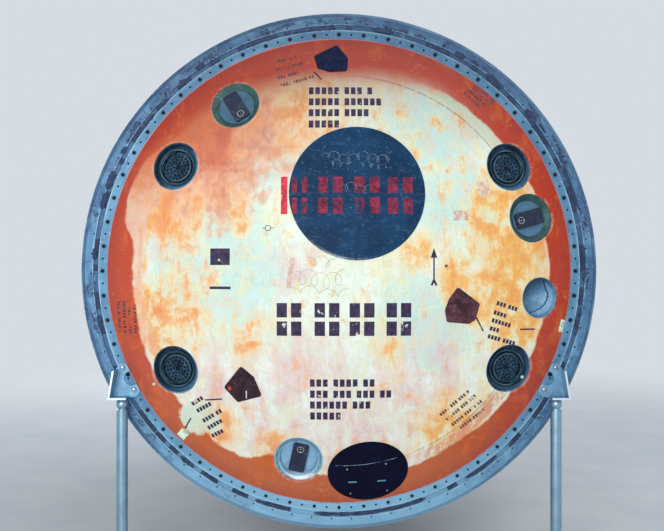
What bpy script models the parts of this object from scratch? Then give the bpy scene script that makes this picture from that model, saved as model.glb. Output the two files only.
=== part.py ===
# A returned space capsule, shown on four steel posts with its round base facing forwards.
# Metres, +Z up. The base faces -Y and the nose faces +Y.
# The capsule's own frame, held by an empty: x to the right and y up as one faces the base,
# z out of the base. A station is a distance behind the base ring's face, towards the nose.
# A clock is an angle in degrees, counter-clockwise from the right as one faces the base.

import math

import bmesh
import bpy
from mathutils import Matrix, Vector

# Clearance between touching pieces, reach of a cutter past a face, merge distance of points
GAP = 0.0003
OVERRUN = 0.020
MERGE = 0.00001

ROUND_STEPS = 48
FITTING_STEPS = 18
PLATE_STEPS = 36
POST_STEPS = 12

AXIS_HEIGHT = 1.250

# Base ring, from its rim inwards
RING_RADIUS = 1.085
RING_DEPTH = 0.070
RIM_WIDTH = 0.019
RIM_STEP = 0.008
RIM_SLOPE = 0.016
BAND_WIDTH = 0.037
GROOVE_WIDTH = 0.020
GROOVE_DEPTH = 0.006
FLANGE_WIDTH = 0.042
LEDGE_WIDTH = 0.032
BOLT_INSET = 0.019
BOLT_HOLE_COUNT = 60
BOLT_HOLE_RADIUS = 0.007
BOLT_HOLE_DEPTH = 0.014

BAND_RADIUS = RING_RADIUS - RIM_WIDTH
GROOVE_OUTER_RADIUS = BAND_RADIUS - BAND_WIDTH
GROOVE_INNER_RADIUS = GROOVE_OUTER_RADIUS - GROOVE_WIDTH
DOME_EDGE_RADIUS = GROOVE_INNER_RADIUS - FLANGE_WIDTH
LEDGE_RADIUS = DOME_EDGE_RADIUS - LEDGE_WIDTH
BOLT_CIRCLE_RADIUS = GROOVE_INNER_RADIUS - BOLT_INSET

# Base dome, a shell between two spheres about one centre
DOME_RADIUS = 2.200
DOME_WALL = 0.040
DOME_INNER_RADIUS = DOME_RADIUS - DOME_WALL
DOME_CENTRE = -math.sqrt(DOME_RADIUS**2 - DOME_EDGE_RADIUS**2)
DOME_FOOT = DOME_CENTRE + math.sqrt(DOME_INNER_RADIUS**2 - DOME_EDGE_RADIUS**2)
DOME_EDGE_ANGLE = math.asin(DOME_EDGE_RADIUS / DOME_RADIUS)

# Cups let into the dome: landing engines, ports with a bar, and one open port
CUP_RADIUS = 0.101
CUP_WALL = 0.005
CUP_RIM_DROP = 0.004
ENGINE_DEPTH = 0.075
ENGINE_FLOOR_RADIUS = 0.093
ENGINE_FLOOR_DROP = 0.026
ENGINE_LIP_RADIUS = 0.080
ENGINE_LIP_WIDTH = 0.009
ENGINE_LIP_DROP = 0.018
ENGINE_GROOVE_RADIUS = 0.069
ENGINE_GROOVE_DROP = 0.038
ENGINE_PLATE_RADIUS = 0.061
ENGINE_PLATE_DROP = 0.024
ENGINE_THROAT_RADIUS = 0.010
ENGINE_THROAT_DEPTH = 0.012

PORT_DEPTH = 0.050
PORT_FLOOR_RADIUS = 0.077
PORT_FLOOR_DROP = 0.020
PORT_SEAM_RADIUS = 0.074
PORT_SEAM_DEPTH = 0.003
BAR_LENGTH = 0.132
BAR_WIDTH = 0.066
BAR_CORNER = 0.010
BAR_THICKNESS = 0.012
BAR_BOLT_END = 0.023
BAR_BOLT_RADIUS = 0.015
BAR_BOLT_HEIGHT = 0.003

OPEN_PORT_RADIUS = 0.0845
OPEN_PORT_DEPTH = 0.070
OPEN_PORT_BOWL = 0.064
# Bowl of the open port: shares of its inner radius and of its depth
OPEN_PORT_BOWL_SHARES = ((0.50, 0.93), (0.82, 0.70), (0.95, 0.38))

# Dark plates let into the dome
PLATE_DEPTH = 0.012
PLATE_PROUD = 0.003
ROUND_PLATE_RADIUS = 0.271
OVAL_WIDTH = 0.333
OVAL_HEIGHT = 0.282
OVAL_RIM_CLEARANCE = 0.005
PAD_SIZE = 0.075
PAD_CORNER = 0.010
PAD_DEPTH = 0.010
PAD_PROUD = 0.002

# Places on the dome: clock, and distance from the axis as a share of the dome's edge radius
ENGINE_PLACE_SHARES = ((147.3, 0.825), (31.5, 0.847), (-29.9, 0.829), (-148.9, 0.810))
UPPER_BAR_PORT_PLACE_SHARE = (122.0, 0.831)
SIDE_BAR_PORT_PLACE_SHARE = 0.846
LOWER_BAR_PORT_PLACE_SHARE = (-102.2, 0.816)
OPEN_PORT_PLACE_SHARE = (-7.6, 0.863)
ROUND_PLATE_PLACE_SHARE = (77.2, 0.333)
PAD_PLACE_SHARES = ((92.2, 0.910), (-15.5, 0.528), (-130.5, 0.617))
# The side port keeps this distance from the engine above it, the oval plate from the lower port
SIDE_PORT_CLEARANCE = 0.026
OVAL_CLEARANCE = 0.020
# Outline of each pad as shares of its size: x clockwise round the dome, y away from the axis
PAD_OUTLINE_SHARES = (
    ((-0.93, 0.22), (0.37, 0.91), (0.94, -0.03), (0.85, -0.86), (-0.09, -0.89), (-0.74, -0.62)),
    ((-0.88, -0.52), (-0.33, 0.95), (0.57, 0.92), (0.86, 0.65), (1.07, -0.59), (0.48, -0.88), (-0.14, -0.83)),
    ((0.71, -0.71), (-0.20, -0.72), (-1.19, -0.18), (-0.43, 1.01), (0.67, 0.87)),
)

# Hull: a conical flank, then a spherical crown that carries on its slope
HULL_WALL = 0.060
FLANK_INSET = 0.017
FLANK_LENGTH = 1.019
CONE_ANGLE = math.radians(7.0)
CROWN_STEPS = 6
FLANK_START_RADIUS = RING_RADIUS - FLANK_INSET
FLANK_START_STATION = RING_DEPTH + GAP
SEAM_STATION = FLANK_START_STATION + FLANK_LENGTH
SEAM_RADIUS = FLANK_START_RADIUS - FLANK_LENGTH * math.tan(CONE_ANGLE)
CROWN_RADIUS = SEAM_RADIUS / math.cos(CONE_ANGLE)
CROWN_STATION = SEAM_STATION - CROWN_RADIUS * math.sin(CONE_ANGLE)
CROWN_INNER_RADIUS = CROWN_RADIUS - HULL_WALL
SEAM_INNER_RADIUS = CROWN_INNER_RADIUS * math.cos(CONE_ANGLE)
SEAM_INNER_STATION = CROWN_STATION + CROWN_INNER_RADIUS * math.sin(CONE_ANGLE)
FLANK_WALL_RADIAL = HULL_WALL / math.cos(CONE_ANGLE)

# Collar round the hatch way in the nose
COLLAR_BORE_RADIUS = 0.300
COLLAR_WALL = 0.100
COLLAR_LENGTH = 0.170
COLLAR_SEAT_DEPTH = 0.044
COLLAR_FLANGE_WIDTH = 0.060
COLLAR_FLANGE_THICKNESS = 0.050
COLLAR_NECK_WIDTH = 0.030
COLLAR_NECK_DEPTH = 0.024
FLANGE_BOLT_INSET = 0.030
COLLAR_RADIUS = COLLAR_BORE_RADIUS + COLLAR_WALL
COLLAR_FLANGE_RADIUS = COLLAR_RADIUS + COLLAR_FLANGE_WIDTH
COLLAR_SOCKET_RADIUS = COLLAR_RADIUS + GAP
COLLAR_SKIN_STATION = CROWN_STATION + math.sqrt(CROWN_RADIUS**2 - COLLAR_RADIUS**2)
COLLAR_INNER_STATION = COLLAR_SKIN_STATION - COLLAR_SEAT_DEPTH
NOSE_STATION = COLLAR_INNER_STATION + COLLAR_LENGTH
FLANGE_BOLT_RADIUS = COLLAR_FLANGE_RADIUS - FLANGE_BOLT_INSET

# Hatch lid, which opens inwards on a hinge beside it
LID_OVERLAP = 0.030
LID_THICKNESS = 0.040
LID_SEAT_CLEARANCE = 0.005
LID_DISH = 0.016
LID_RIM_WIDTH = 0.050
LID_PLUG_CLEARANCE = 0.015
LID_PLUG_HEIGHT = 0.014
LID_STEPS = 36
WHEEL_RADIUS = 0.095
WHEEL_TUBE_RADIUS = 0.008
WHEEL_STANDOFF = 0.040
WHEEL_HUB_RADIUS = 0.026
WHEEL_SPOKE_RADIUS = 0.006
WHEEL_SPOKE_COUNT = 3
HINGE_INSET = 0.025
HINGE_DROP = 0.045
PIN_RADIUS = 0.006
PIN_CLEARANCE = 0.0005
KNUCKLE_RADIUS = 0.014
KNUCKLE_LENGTH = 0.068
EAR_CLEARANCE = 0.0005
EAR_THICKNESS = 0.012
EAR_RADIUS = 0.018
HINGE_STEPS = 12
HINGE_OFFSET = COLLAR_RADIUS - HINGE_INSET
HINGE_STATION = COLLAR_INNER_STATION - HINGE_DROP
LID_RADIUS = COLLAR_BORE_RADIUS + LID_OVERLAP
LID_OUTER_STATION = COLLAR_INNER_STATION - LID_SEAT_CLEARANCE
LID_INNER_STATION = LID_OUTER_STATION - LID_THICKNESS
LID_DISH_STATION = LID_INNER_STATION + LID_DISH

# Windows and periscope port in the flank. Stations are shares of the flank's length.
WINDOW_CLOCKS = {"right_window": 22.0, "left_window": 158.0}
WINDOW_STATION_SHARE = 0.620
WINDOW_RADIUS = 0.105
WINDOW_FLANGE_WIDTH = 0.045
WINDOW_RIM_HEIGHT = 0.006
PERISCOPE_CLOCK = -90.0
PERISCOPE_STATION_SHARE = 0.480
PERISCOPE_RADIUS = 0.070
PERISCOPE_FLANGE_WIDTH = 0.030
PERISCOPE_RIM_HEIGHT = 0.050
PORTHOLE_TUBE = 0.010
PORTHOLE_SEAT = 0.016
PORTHOLE_BEVEL = 0.006
PORTHOLE_INNER_PROUD = 0.006
GLASS_DROP = 0.012
GLASS_THICKNESS = 0.014

# Thruster blocks with two nozzles each, flush in the flank
THRUSTER_CLOCKS = (45.0, 135.0, -48.0, -132.0)
THRUSTER_STATION_SHARE = 0.845
THRUSTER_WIDTH = 0.190
THRUSTER_HEIGHT = 0.100
THRUSTER_CORNER = 0.020
THRUSTER_DEPTH = 0.034
THRUSTER_PROUD = 0.004
NOZZLE_SPACING = 0.086
NOZZLE_MOUTH_RADIUS = 0.030
NOZZLE_THROAT_RADIUS = 0.008
NOZZLE_DEPTH = 0.026
NOZZLE_STEPS = 12

# Umbilical plate with three round sockets
UMBILICAL_CLOCK = 64.0
UMBILICAL_STATION_SHARE = 0.187
UMBILICAL_WIDTH = 0.240
UMBILICAL_HEIGHT = 0.140
UMBILICAL_CORNER = 0.018
UMBILICAL_DEPTH = 0.022
UMBILICAL_PROUD = 0.006
SOCKET_SPACING = 0.074
SOCKET_RADIUS = 0.026
SOCKET_HEIGHT = 0.012
SOCKET_STEPS = 12

# Covers of the parachute bays, let into the crown. The main one reaches from collar to seam.
MAIN_COVER_CLOCK = 90.0
MAIN_COVER_WIDTH = 0.540
MAIN_COVER_CORNER_SHARE = 0.320
MAIN_COVER_SEAM_DISTANCE = 0.140
RESERVE_COVER_CLOCK = 148.0
RESERVE_COVER_WIDTH = 0.380
RESERVE_COVER_HEIGHT = 0.500
RESERVE_COVER_CORNER = 0.150
COVER_COLLAR_DISTANCE = 0.120
COVER_DEPTH = 0.026
COVER_PROUD = 0.006
COVER_STEPS = 24

# Cabin. What is in it follows the floor's radius and the crown's inner radius.
FLOOR_INSET = 0.090
FLOOR_THICKNESS = 0.012
FLOOR_STATION = FLANK_START_STATION + FLOOR_INSET
FLOOR_BACK = FLOOR_STATION + FLOOR_THICKNESS
COUCH_HEIGHT = 0.530
COUCH_CORNER = 0.080
COUCH_FAN = 8.0
COUCH_LENGTH_SHARE = 1.034
COUCH_WIDTH_SHARE = 0.401
COUCH_SPACING_SHARE = 0.413
COUCH_FOOT_SHARE = 0.602
# Side view of a couch: shares of its length from the foot, its height and its largest fillet
COUCH_SIDE_SHARES = (
    (0.019, 0.321, 0.38),
    (0.058, 0.226, 0.25),
    (0.165, 0.679, 0.25),
    (0.204, 0.038, 0.38),
    (0.990, 0.000, 0.13),
    (1.000, 0.283, 0.63),
    (0.835, 0.226, 1.00),
    (0.680, 0.160, 1.00),
    (0.330, 0.208, 0.75),
    (0.262, 0.943, 0.38),
    (0.126, 1.000, 0.63),
)
CONSOLE_WIDTH_SHARE = 0.809
CONSOLE_TOP_SHARE = 0.494
CONSOLE_SLANT_SHARE = 0.101
CONSOLE_DEPTH = 0.280
CONSOLE_SEAM_OFFSET = 0.069

# Stand: a post and a folded bracket at each corner. Two bolts hold a bracket to a bolt circle.
BOLT_CLOCKS = (-24.0, -30.0)
BOLT_HEAD_RADIUS = 0.011
BOLT_HEAD_HEIGHT = 0.010
BOLT_HEAD_STEPS = 8
BRACKET_THICKNESS = 0.008
BRACKET_SHELF_DEPTH = 0.075
NOTCH_STEPS = 16
# Shares of the distance between the two bolts, from their middle: x outwards, y up, fillet
BRACKET_OUTLINE_SHARES = (
    (0.670, -0.768, 0.00),
    (0.488, 0.400, 0.06),
    (0.290, 0.620, 0.14),
    (0.067, 0.580, 0.12),
    (-0.330, -0.220, 0.04),
    (-0.498, -0.510, 0.12),
    (-0.358, -0.720, 0.14),
    (-0.056, -0.768, 0.06),
)
BRACKET_SHELF_SHARE = -0.056
BRACKET_FIN_SHARE = 0.380
BRACKET_NOTCH_SHARES = (-0.130, 0.010, 0.300)
POST_SHIFT_SHARE = 0.165
POST_OFFSET = 0.040
POST_RADIUS = 0.023
POST_NECK_RADIUS = 0.017
POST_NECK_LENGTH = 0.008
BALL_RADIUS = 0.024
BALL_FLAT_RADIUS = 0.012
BALL_STEPS = 4
FOOT_RADIUS = 0.125
FOOT_THICKNESS = 0.012
FOOT_BEVEL = 0.004
FOOT_SOCKET_RADIUS = 0.036
FOOT_SOCKET_HEIGHT = 0.034

# The part's box runs from the round plate's rim to the rear feet, and its middle is the origin.
PLATE_SPHERE = DOME_RADIUS + PLATE_PROUD
PLATE_SLOPE = math.asin(ROUND_PLATE_PLACE_SHARE[1] * DOME_EDGE_RADIUS / DOME_RADIUS)
PLATE_RIM_ANGLE = max(PLATE_SLOPE - math.asin(ROUND_PLATE_RADIUS / PLATE_SPHERE), 0.0)
FRONT_REACH = DOME_CENTRE + PLATE_SPHERE * math.cos(PLATE_RIM_ANGLE)
REAR_REACH = NOSE_STATION + POST_OFFSET + FOOT_RADIUS
CAPSULE_Y = (FRONT_REACH - REAR_REACH) / 2


def clear_scene():
    for item in list(bpy.data.objects):
        bpy.data.objects.remove(item)


def new_collection(name):
    made = bpy.data.collections.new(name)
    bpy.context.scene.collection.children.link(made)
    return made


def new_empty(name, location, parent=None):
    made = bpy.data.objects.new(name, None)
    made.location = location
    made.parent = parent
    PARTS.objects.link(made)
    return made


def new_material(name, colour, roughness, metallic):
    made = bpy.data.materials.new(name)
    made.use_nodes = True
    shader = made.node_tree.nodes["Principled BSDF"]
    shader.inputs["Base Color"].default_value = (*colour, 1.0)
    shader.inputs["Roughness"].default_value = roughness
    shader.inputs["Metallic"].default_value = metallic
    return made


clear_scene()
PARTS = new_collection("space_capsule")
CUTTERS = new_collection("cutters")
FRAME = new_empty("capsule_frame", (0.0, CAPSULE_Y, AXIS_HEIGHT))
FRAME.rotation_euler = (math.radians(90.0), 0.0, 0.0)
HINGE = new_empty("hatch_hinge_axis", (HINGE_OFFSET, 0.0, -HINGE_STATION), FRAME)

# name, colour, roughness, metallic
RING_METAL = new_material("ring_metal", (0.30, 0.42, 0.50), 0.5, 0.7)
DOME_PAINT = new_material("dome_paint", (0.86, 0.62, 0.38), 0.6, 0.0)
CHARRED_SKIN = new_material("charred_skin", (0.16, 0.11, 0.08), 0.9, 0.0)
PLATE_DARK = new_material("plate_dark", (0.05, 0.08, 0.12), 0.5, 0.1)
PAD_BROWN = new_material("pad_brown", (0.09, 0.05, 0.05), 0.8, 0.0)
ENGINE_METAL = new_material("engine_metal", (0.12, 0.20, 0.26), 0.45, 0.8)
PORT_METAL = new_material("port_metal", (0.36, 0.55, 0.66), 0.5, 0.6)
HATCH_METAL = new_material("hatch_metal", (0.45, 0.46, 0.47), 0.45, 0.8)
CABIN_GREEN = new_material("cabin_green", (0.42, 0.50, 0.44), 0.7, 0.0)
COUCH_SHELL = new_material("couch_shell", (0.62, 0.60, 0.54), 0.7, 0.0)
PORT_GLASS = new_material("port_glass", (0.55, 0.62, 0.60), 0.1, 0.0)
POLISHED_STEEL = new_material("polished_steel", (0.62, 0.66, 0.68), 0.18, 1.0)


def add_object(name, data, material=None, parent=FRAME, cutter=False):
    """Puts a mesh in the scene: a part with its material, or a cutter that isn't rendered."""
    made = bpy.data.objects.new(name, data)
    made.parent = parent
    if cutter:
        CUTTERS.objects.link(made)
        made.hide_render = True
        made.display_type = "WIRE"
    else:
        PARTS.objects.link(made)
    if material:
        made.data.materials.append(material)
    return made


def clockwise(points):
    """The outline in the order that a Screw modifier turns into faces that point outwards."""
    following = points[1:] + points[:1]
    area = sum(a[0] * b[1] - b[0] * a[1] for a, b in zip(points, following))
    return points if area < 0 else points[::-1]


def turned(name, profile, material=None, steps=ROUND_STEPS, parent=FRAME, cutter=False):
    """A solid turned about its z axis from (radius, z) points. An end on the axis is left open."""
    points = clockwise(profile)
    on_axis = [i for i, point in enumerate(points) if point[0] == 0.0]
    if on_axis:
        ends_together = len(on_axis) == 2 and on_axis[1] - on_axis[0] == 1
        start = on_axis[1] if ends_together else on_axis[0]
        points = points[start:] + points[:start]
    data = bpy.data.meshes.new(name)
    corners = [(radius, 0.0, z) for radius, z in points]
    edges = [(i, i + 1) for i in range(len(points) - 1)]
    if not on_axis:
        edges.append((len(points) - 1, 0))
    data.from_pydata(corners, edges, [])
    made = add_object(name, data, material, parent, cutter)
    screw = made.modifiers.new("turn", "SCREW")
    screw.axis = "Z"
    screw.steps = steps
    screw.render_steps = steps
    screw.use_merge_vertices = True
    screw.merge_threshold = MERGE
    screw.use_smooth_shade = True
    return made


def arc(radius, centre, start, end, steps):
    """(radius, z) points along a circle centred on the axis, by angle from the +z axis."""
    angles = [start + (end - start) * i / steps for i in range(steps + 1)]
    return [(radius * math.sin(a), centre + radius * math.cos(a)) for a in angles]


def rounded(corners, steps=3):
    """A closed outline from (x, y, fillet radius) corners."""
    points = []
    count = len(corners)
    for i, (x, y, fillet) in enumerate(corners):
        if fillet == 0.0:
            points.append((x, y))
            continue
        before, after = corners[i - 1], corners[(i + 1) % count]
        back = math.atan2(before[1] - y, before[0] - x)
        ahead = math.atan2(after[1] - y, after[0] - x)
        turn = (ahead - back + math.pi) % (2 * math.pi) - math.pi
        half = abs(turn) / 2
        middle = back + turn / 2
        centre_x = x + fillet / math.sin(half) * math.cos(middle)
        centre_y = y + fillet / math.sin(half) * math.sin(middle)
        sweep = math.pi - abs(turn)
        first = middle + math.pi + math.copysign(sweep / 2, turn)
        for k in range(steps + 1):
            a = first - math.copysign(sweep * k / steps, turn)
            points.append((centre_x + fillet * math.cos(a), centre_y + fillet * math.sin(a)))
    return points


def rounded_box(width, height, fillet, growth=0.0, steps=3):
    """A centred box with round corners, grown on every side."""
    x, y, round_off = width / 2 + growth, height / 2 + growth, fillet + growth
    corners = [(-x, -y, round_off), (x, -y, round_off), (x, y, round_off), (-x, y, round_off)]
    return rounded(corners, steps)


def circle_places(count, radius, first=0.0):
    step = 2 * math.pi / count
    return [(radius * math.cos(first + i * step), radius * math.sin(first + i * step)) for i in range(count)]


def prism(name, outline, bottom, top, material=None, parent=FRAME, cutter=False):
    """A flat outline of (x, y) points made solid from z = bottom to z = top."""
    curve = bpy.data.curves.new(name, "CURVE")
    curve.dimensions = "2D"
    curve.fill_mode = "BOTH"
    curve.extrude = (top - bottom) / 2
    spline = curve.splines.new("POLY")
    spline.points.add(len(outline) - 1)
    for point, (x, y) in zip(spline.points, outline):
        point.co = (x, y, 0.0, 1.0)
    spline.use_cyclic_u = True
    flat = bpy.data.objects.new(name + "_outline", curve)
    bpy.context.scene.collection.objects.link(flat)
    bpy.context.view_layer.update()
    data = bpy.data.meshes.new_from_object(flat.evaluated_get(bpy.context.evaluated_depsgraph_get()))
    bpy.data.objects.remove(flat)
    shape = bmesh.new()
    shape.from_mesh(data)
    bmesh.ops.remove_doubles(shape, verts=shape.verts, dist=MERGE)
    bmesh.ops.recalc_face_normals(shape, faces=shape.faces)
    bmesh.ops.translate(shape, verts=shape.verts, vec=(0.0, 0.0, (top + bottom) / 2))
    shape.to_mesh(data)
    shape.free()
    data.name = name
    return add_object(name, data, material, parent, cutter)


def cones_mesh(name, bottom_radius, top_radius, bottom, top, steps, centres=((0.0, 0.0),)):
    """One mesh of upright cones, one at each (x, y) centre."""
    shape = bmesh.new()
    for x, y in centres:
        made = bmesh.ops.create_cone(
            shape, cap_ends=True, segments=steps, radius1=bottom_radius, radius2=top_radius, depth=top - bottom
        )
        bmesh.ops.translate(shape, verts=made["verts"], vec=(x, y, (top + bottom) / 2))
    data = bpy.data.meshes.new(name)
    shape.to_mesh(data)
    shape.free()
    return data


def cylinders_mesh(name, radius, bottom, top, steps, centres=((0.0, 0.0),)):
    return cones_mesh(name, radius, radius, bottom, top, steps, centres)


def box_mesh(name, low, high):
    shape = bmesh.new()
    bmesh.ops.create_cube(shape, size=1.0)
    size = [b - a for a, b in zip(low, high)]
    middle = [(a + b) / 2 for a, b in zip(low, high)]
    bmesh.ops.scale(shape, verts=shape.verts, vec=size)
    bmesh.ops.translate(shape, verts=shape.verts, vec=middle)
    data = bpy.data.meshes.new(name)
    shape.to_mesh(data)
    shape.free()
    return data


def combine(target, other, operation):
    change = target.modifiers.new(operation.lower(), "BOOLEAN")
    change.operation = operation
    change.object = other
    change.solver = "EXACT"
    other.hide_render = True
    other.display_type = "WIRE"
    if other.name in PARTS.objects:
        PARTS.objects.unlink(other)
        CUTTERS.objects.link(other)


def cut(target, other):
    combine(target, other, "DIFFERENCE")


def join(target, other):
    combine(target, other, "UNION")


def seat_on_dome(item, clock, radius):
    """Places a fitting on the dome: z along the dome's normal, y away from the axis."""
    slope = math.asin(radius / DOME_RADIUS)
    angle = math.radians(clock)
    height = DOME_CENTRE + math.sqrt(DOME_RADIUS**2 - radius**2)
    item.location = (radius * math.cos(angle), radius * math.sin(angle), height)
    item.rotation_euler = (-slope, 0.0, angle - math.pi / 2)


def seat_on_hull(item, clock, radius, station, slope):
    """Places a fitting on the hull: z along the outward normal, y towards the nose."""
    angle = math.radians(clock)
    item.location = (radius * math.cos(angle), radius * math.sin(angle), -station)
    item.rotation_euler = (-math.pi / 2 - slope, 0.0, angle - math.pi / 2)


def seat_on_flank(item, clock, share):
    """share is how far along the flank the place is."""
    along = share * FLANK_LENGTH
    radius = FLANK_START_RADIUS - along * math.tan(CONE_ANGLE)
    seat_on_hull(item, clock, radius, FLANK_START_STATION + along, CONE_ANGLE)


def seat_on_crown(item, clock, polar):
    """polar is the angle between the outward normal and the nose axis."""
    radius = CROWN_RADIUS * math.sin(polar)
    station = CROWN_STATION + CROWN_RADIUS * math.cos(polar)
    seat_on_hull(item, clock, radius, station, math.pi / 2 - polar)


def clock_beside(clock, radius, distance):
    """The clock of a place at a distance round the dome from another, at about the same radius."""
    return clock + math.degrees(math.copysign(2 * math.asin(abs(distance) / 2 / radius), distance))


def cap_section(radius, top, bottom, sphere):
    """Section of a round plate that follows a sphere, between two levels from its surface."""
    outer, inner = sphere + top, sphere + bottom
    upper = arc(outer, -sphere, 0.0, math.asin(radius / outer), 2)
    return upper + arc(inner, -sphere, math.asin(radius / inner), 0.0, 2)


def sphere_patch(name, outline, top, bottom, sphere, steps, material=None, cutter=False):
    """The part of a thick sphere inside an outline, with its middle on the sphere's surface."""
    reach = max(math.hypot(x, y) for x, y in outline) + OVERRUN
    patch = turned(name, cap_section(reach, top, bottom, sphere), material, steps, cutter=cutter)
    drop = sphere - math.sqrt(sphere**2 - reach**2)
    limits = prism(name + "_outline", outline, bottom - drop - OVERRUN, top + OVERRUN, cutter=True)
    combine(patch, limits, "INTERSECT")
    return patch, limits


def make_base_ring():
    socket_radius = DOME_EDGE_RADIUS + GAP
    ledge = DOME_FOOT - GAP
    ring = turned(
        "base_ring",
        [
            (socket_radius, 0.0),
            (GROOVE_INNER_RADIUS, 0.0),
            (GROOVE_INNER_RADIUS, -GROOVE_DEPTH),
            (GROOVE_OUTER_RADIUS, -GROOVE_DEPTH),
            (GROOVE_OUTER_RADIUS, 0.0),
            (BAND_RADIUS, 0.0),
            (BAND_RADIUS, -RIM_STEP),
            (RING_RADIUS, -RIM_STEP - RIM_SLOPE),
            (RING_RADIUS, -RING_DEPTH),
            (LEDGE_RADIUS, -RING_DEPTH),
            (LEDGE_RADIUS, ledge),
            (socket_radius, ledge),
        ],
        RING_METAL,
    )
    places = circle_places(BOLT_HOLE_COUNT, BOLT_CIRCLE_RADIUS)
    holes = cylinders_mesh("ring_bolt_holes", BOLT_HOLE_RADIUS, -BOLT_HOLE_DEPTH, OVERRUN, 6, places)
    cut(ring, add_object("ring_bolt_holes", holes, cutter=True))


def make_base_dome():
    inner_edge = math.asin(DOME_EDGE_RADIUS / DOME_INNER_RADIUS)
    outer = arc(DOME_RADIUS, DOME_CENTRE, 0.0, DOME_EDGE_ANGLE, 5)
    inner = arc(DOME_INNER_RADIUS, DOME_CENTRE, inner_edge, 0.0, 2)
    return turned("base_dome", outer + inner, DOME_PAINT)


def make_cup(name, section, clock, radius, depth, dome, material, cup_radius=CUP_RADIUS):
    """A turned fitting in a round hole that is square to the dome."""
    inner = cup_radius - CUP_WALL
    rim = [(inner, -CUP_RIM_DROP), (cup_radius, -CUP_RIM_DROP), (cup_radius, -depth), (0.0, -depth)]
    cup = turned(name, section + rim, material, FITTING_STEPS)
    hole_data = cylinders_mesh(name, cup_radius + GAP, -depth - OVERRUN, OVERRUN, FITTING_STEPS)
    hole = add_object(name + "_hole", hole_data, cutter=True)
    # The primitive's first corner is on y and the turned solid's on x
    hole.data.transform(Matrix.Rotation(math.pi / 2, 4, "Z"))
    for item in (cup, hole):
        seat_on_dome(item, clock, radius)
    cut(dome, hole)


def make_engine(number, clock, radius, dome):
    throat_floor = -ENGINE_PLATE_DROP - ENGINE_THROAT_DEPTH
    section = [
        (0.0, throat_floor),
        (ENGINE_THROAT_RADIUS, throat_floor),
        (ENGINE_THROAT_RADIUS, -ENGINE_PLATE_DROP),
        (ENGINE_PLATE_RADIUS, -ENGINE_PLATE_DROP),
        (ENGINE_PLATE_RADIUS, -ENGINE_GROOVE_DROP),
        (ENGINE_GROOVE_RADIUS, -ENGINE_GROOVE_DROP),
        (ENGINE_LIP_RADIUS - ENGINE_LIP_WIDTH, -ENGINE_LIP_DROP),
        (ENGINE_LIP_RADIUS, -ENGINE_LIP_DROP),
        (ENGINE_LIP_RADIUS, -ENGINE_FLOOR_DROP),
        (ENGINE_FLOOR_RADIUS, -ENGINE_FLOOR_DROP),
    ]
    make_cup(f"landing_engine_{number}", section, clock, radius, ENGINE_DEPTH, dome, ENGINE_METAL)


def make_bar_port(number, clock, radius, dome):
    """A shallow cup with a bar across its floor. The bar's bolt is at its end next to the axis."""
    seam_floor = -PORT_FLOOR_DROP - PORT_SEAM_DEPTH
    section = [
        (0.0, -PORT_FLOOR_DROP),
        (PORT_SEAM_RADIUS, -PORT_FLOOR_DROP),
        ((PORT_SEAM_RADIUS + PORT_FLOOR_RADIUS) / 2, seam_floor),
        (PORT_FLOOR_RADIUS, -PORT_FLOOR_DROP),
    ]
    make_cup(f"bar_port_{number}", section, clock, radius, PORT_DEPTH, dome, PORT_METAL)
    name = f"port_bar_{number}"
    top = BAR_THICKNESS - PORT_FLOOR_DROP
    outline = rounded_box(BAR_WIDTH, BAR_LENGTH, BAR_CORNER)
    bar = prism(name, outline, GAP - PORT_FLOOR_DROP, top, PLATE_DARK)
    bolt_place = (0.0, BAR_BOLT_END - BAR_LENGTH / 2)
    bolt_data = cylinders_mesh(
        name, BAR_BOLT_RADIUS, top - BAR_THICKNESS / 2, top + BAR_BOLT_HEIGHT, 12, [bolt_place]
    )
    bolt = add_object(name + "_bolt", bolt_data)
    for item in (bar, bolt):
        seat_on_dome(item, clock, radius)
    join(bar, bolt)


def make_open_port(clock, radius, dome):
    inner = OPEN_PORT_RADIUS - CUP_WALL
    bowl = [(inner * across, -OPEN_PORT_BOWL * down) for across, down in OPEN_PORT_BOWL_SHARES]
    section = [(0.0, -OPEN_PORT_BOWL), *bowl]
    make_cup("open_port", section, clock, radius, OPEN_PORT_DEPTH, dome, PORT_METAL, OPEN_PORT_RADIUS)


def make_round_plate(clock, radius, dome):
    section = cap_section(ROUND_PLATE_RADIUS, PLATE_PROUD, -PLATE_DEPTH, DOME_RADIUS)
    plate = turned("round_plate", section, PLATE_DARK, PLATE_STEPS)
    section = cap_section(ROUND_PLATE_RADIUS + GAP, OVERRUN, -PLATE_DEPTH - GAP, DOME_RADIUS)
    pocket = turned("round_plate_pocket", section, steps=PLATE_STEPS, cutter=True)
    for item in (plate, pocket):
        seat_on_dome(item, clock, radius)
    cut(dome, pocket)


def ellipse(width, height, growth=0.0):
    reach = (width / 2 + growth, height / 2 + growth)
    return [(x * reach[0], y * reach[1]) for x, y in circle_places(PLATE_STEPS, 1.0)]


def make_oval_plate(lower_port, dome):
    half_height = OVAL_HEIGHT / 2 + OVAL_RIM_CLEARANCE
    radius = DOME_RADIUS * math.sin(DOME_EDGE_ANGLE - math.asin(half_height / DOME_RADIUS))
    distance = CUP_RADIUS + OVAL_WIDTH / 2 + OVAL_CLEARANCE
    clock = clock_beside(lower_port[0], (radius + lower_port[1]) / 2, distance)
    steps = COVER_STEPS
    outline = ellipse(OVAL_WIDTH, OVAL_HEIGHT)
    plate, limits = sphere_patch(
        "oval_plate", outline, PLATE_PROUD, -PLATE_DEPTH, DOME_RADIUS, steps, PLATE_DARK
    )
    outline = ellipse(OVAL_WIDTH, OVAL_HEIGHT, GAP)
    pocket, pocket_limits = sphere_patch(
        "oval_plate_pocket", outline, OVERRUN, -PLATE_DEPTH - GAP, DOME_RADIUS, steps, cutter=True
    )
    for item in (plate, limits, pocket, pocket_limits):
        seat_on_dome(item, clock, radius)
    cut(dome, pocket)


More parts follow.
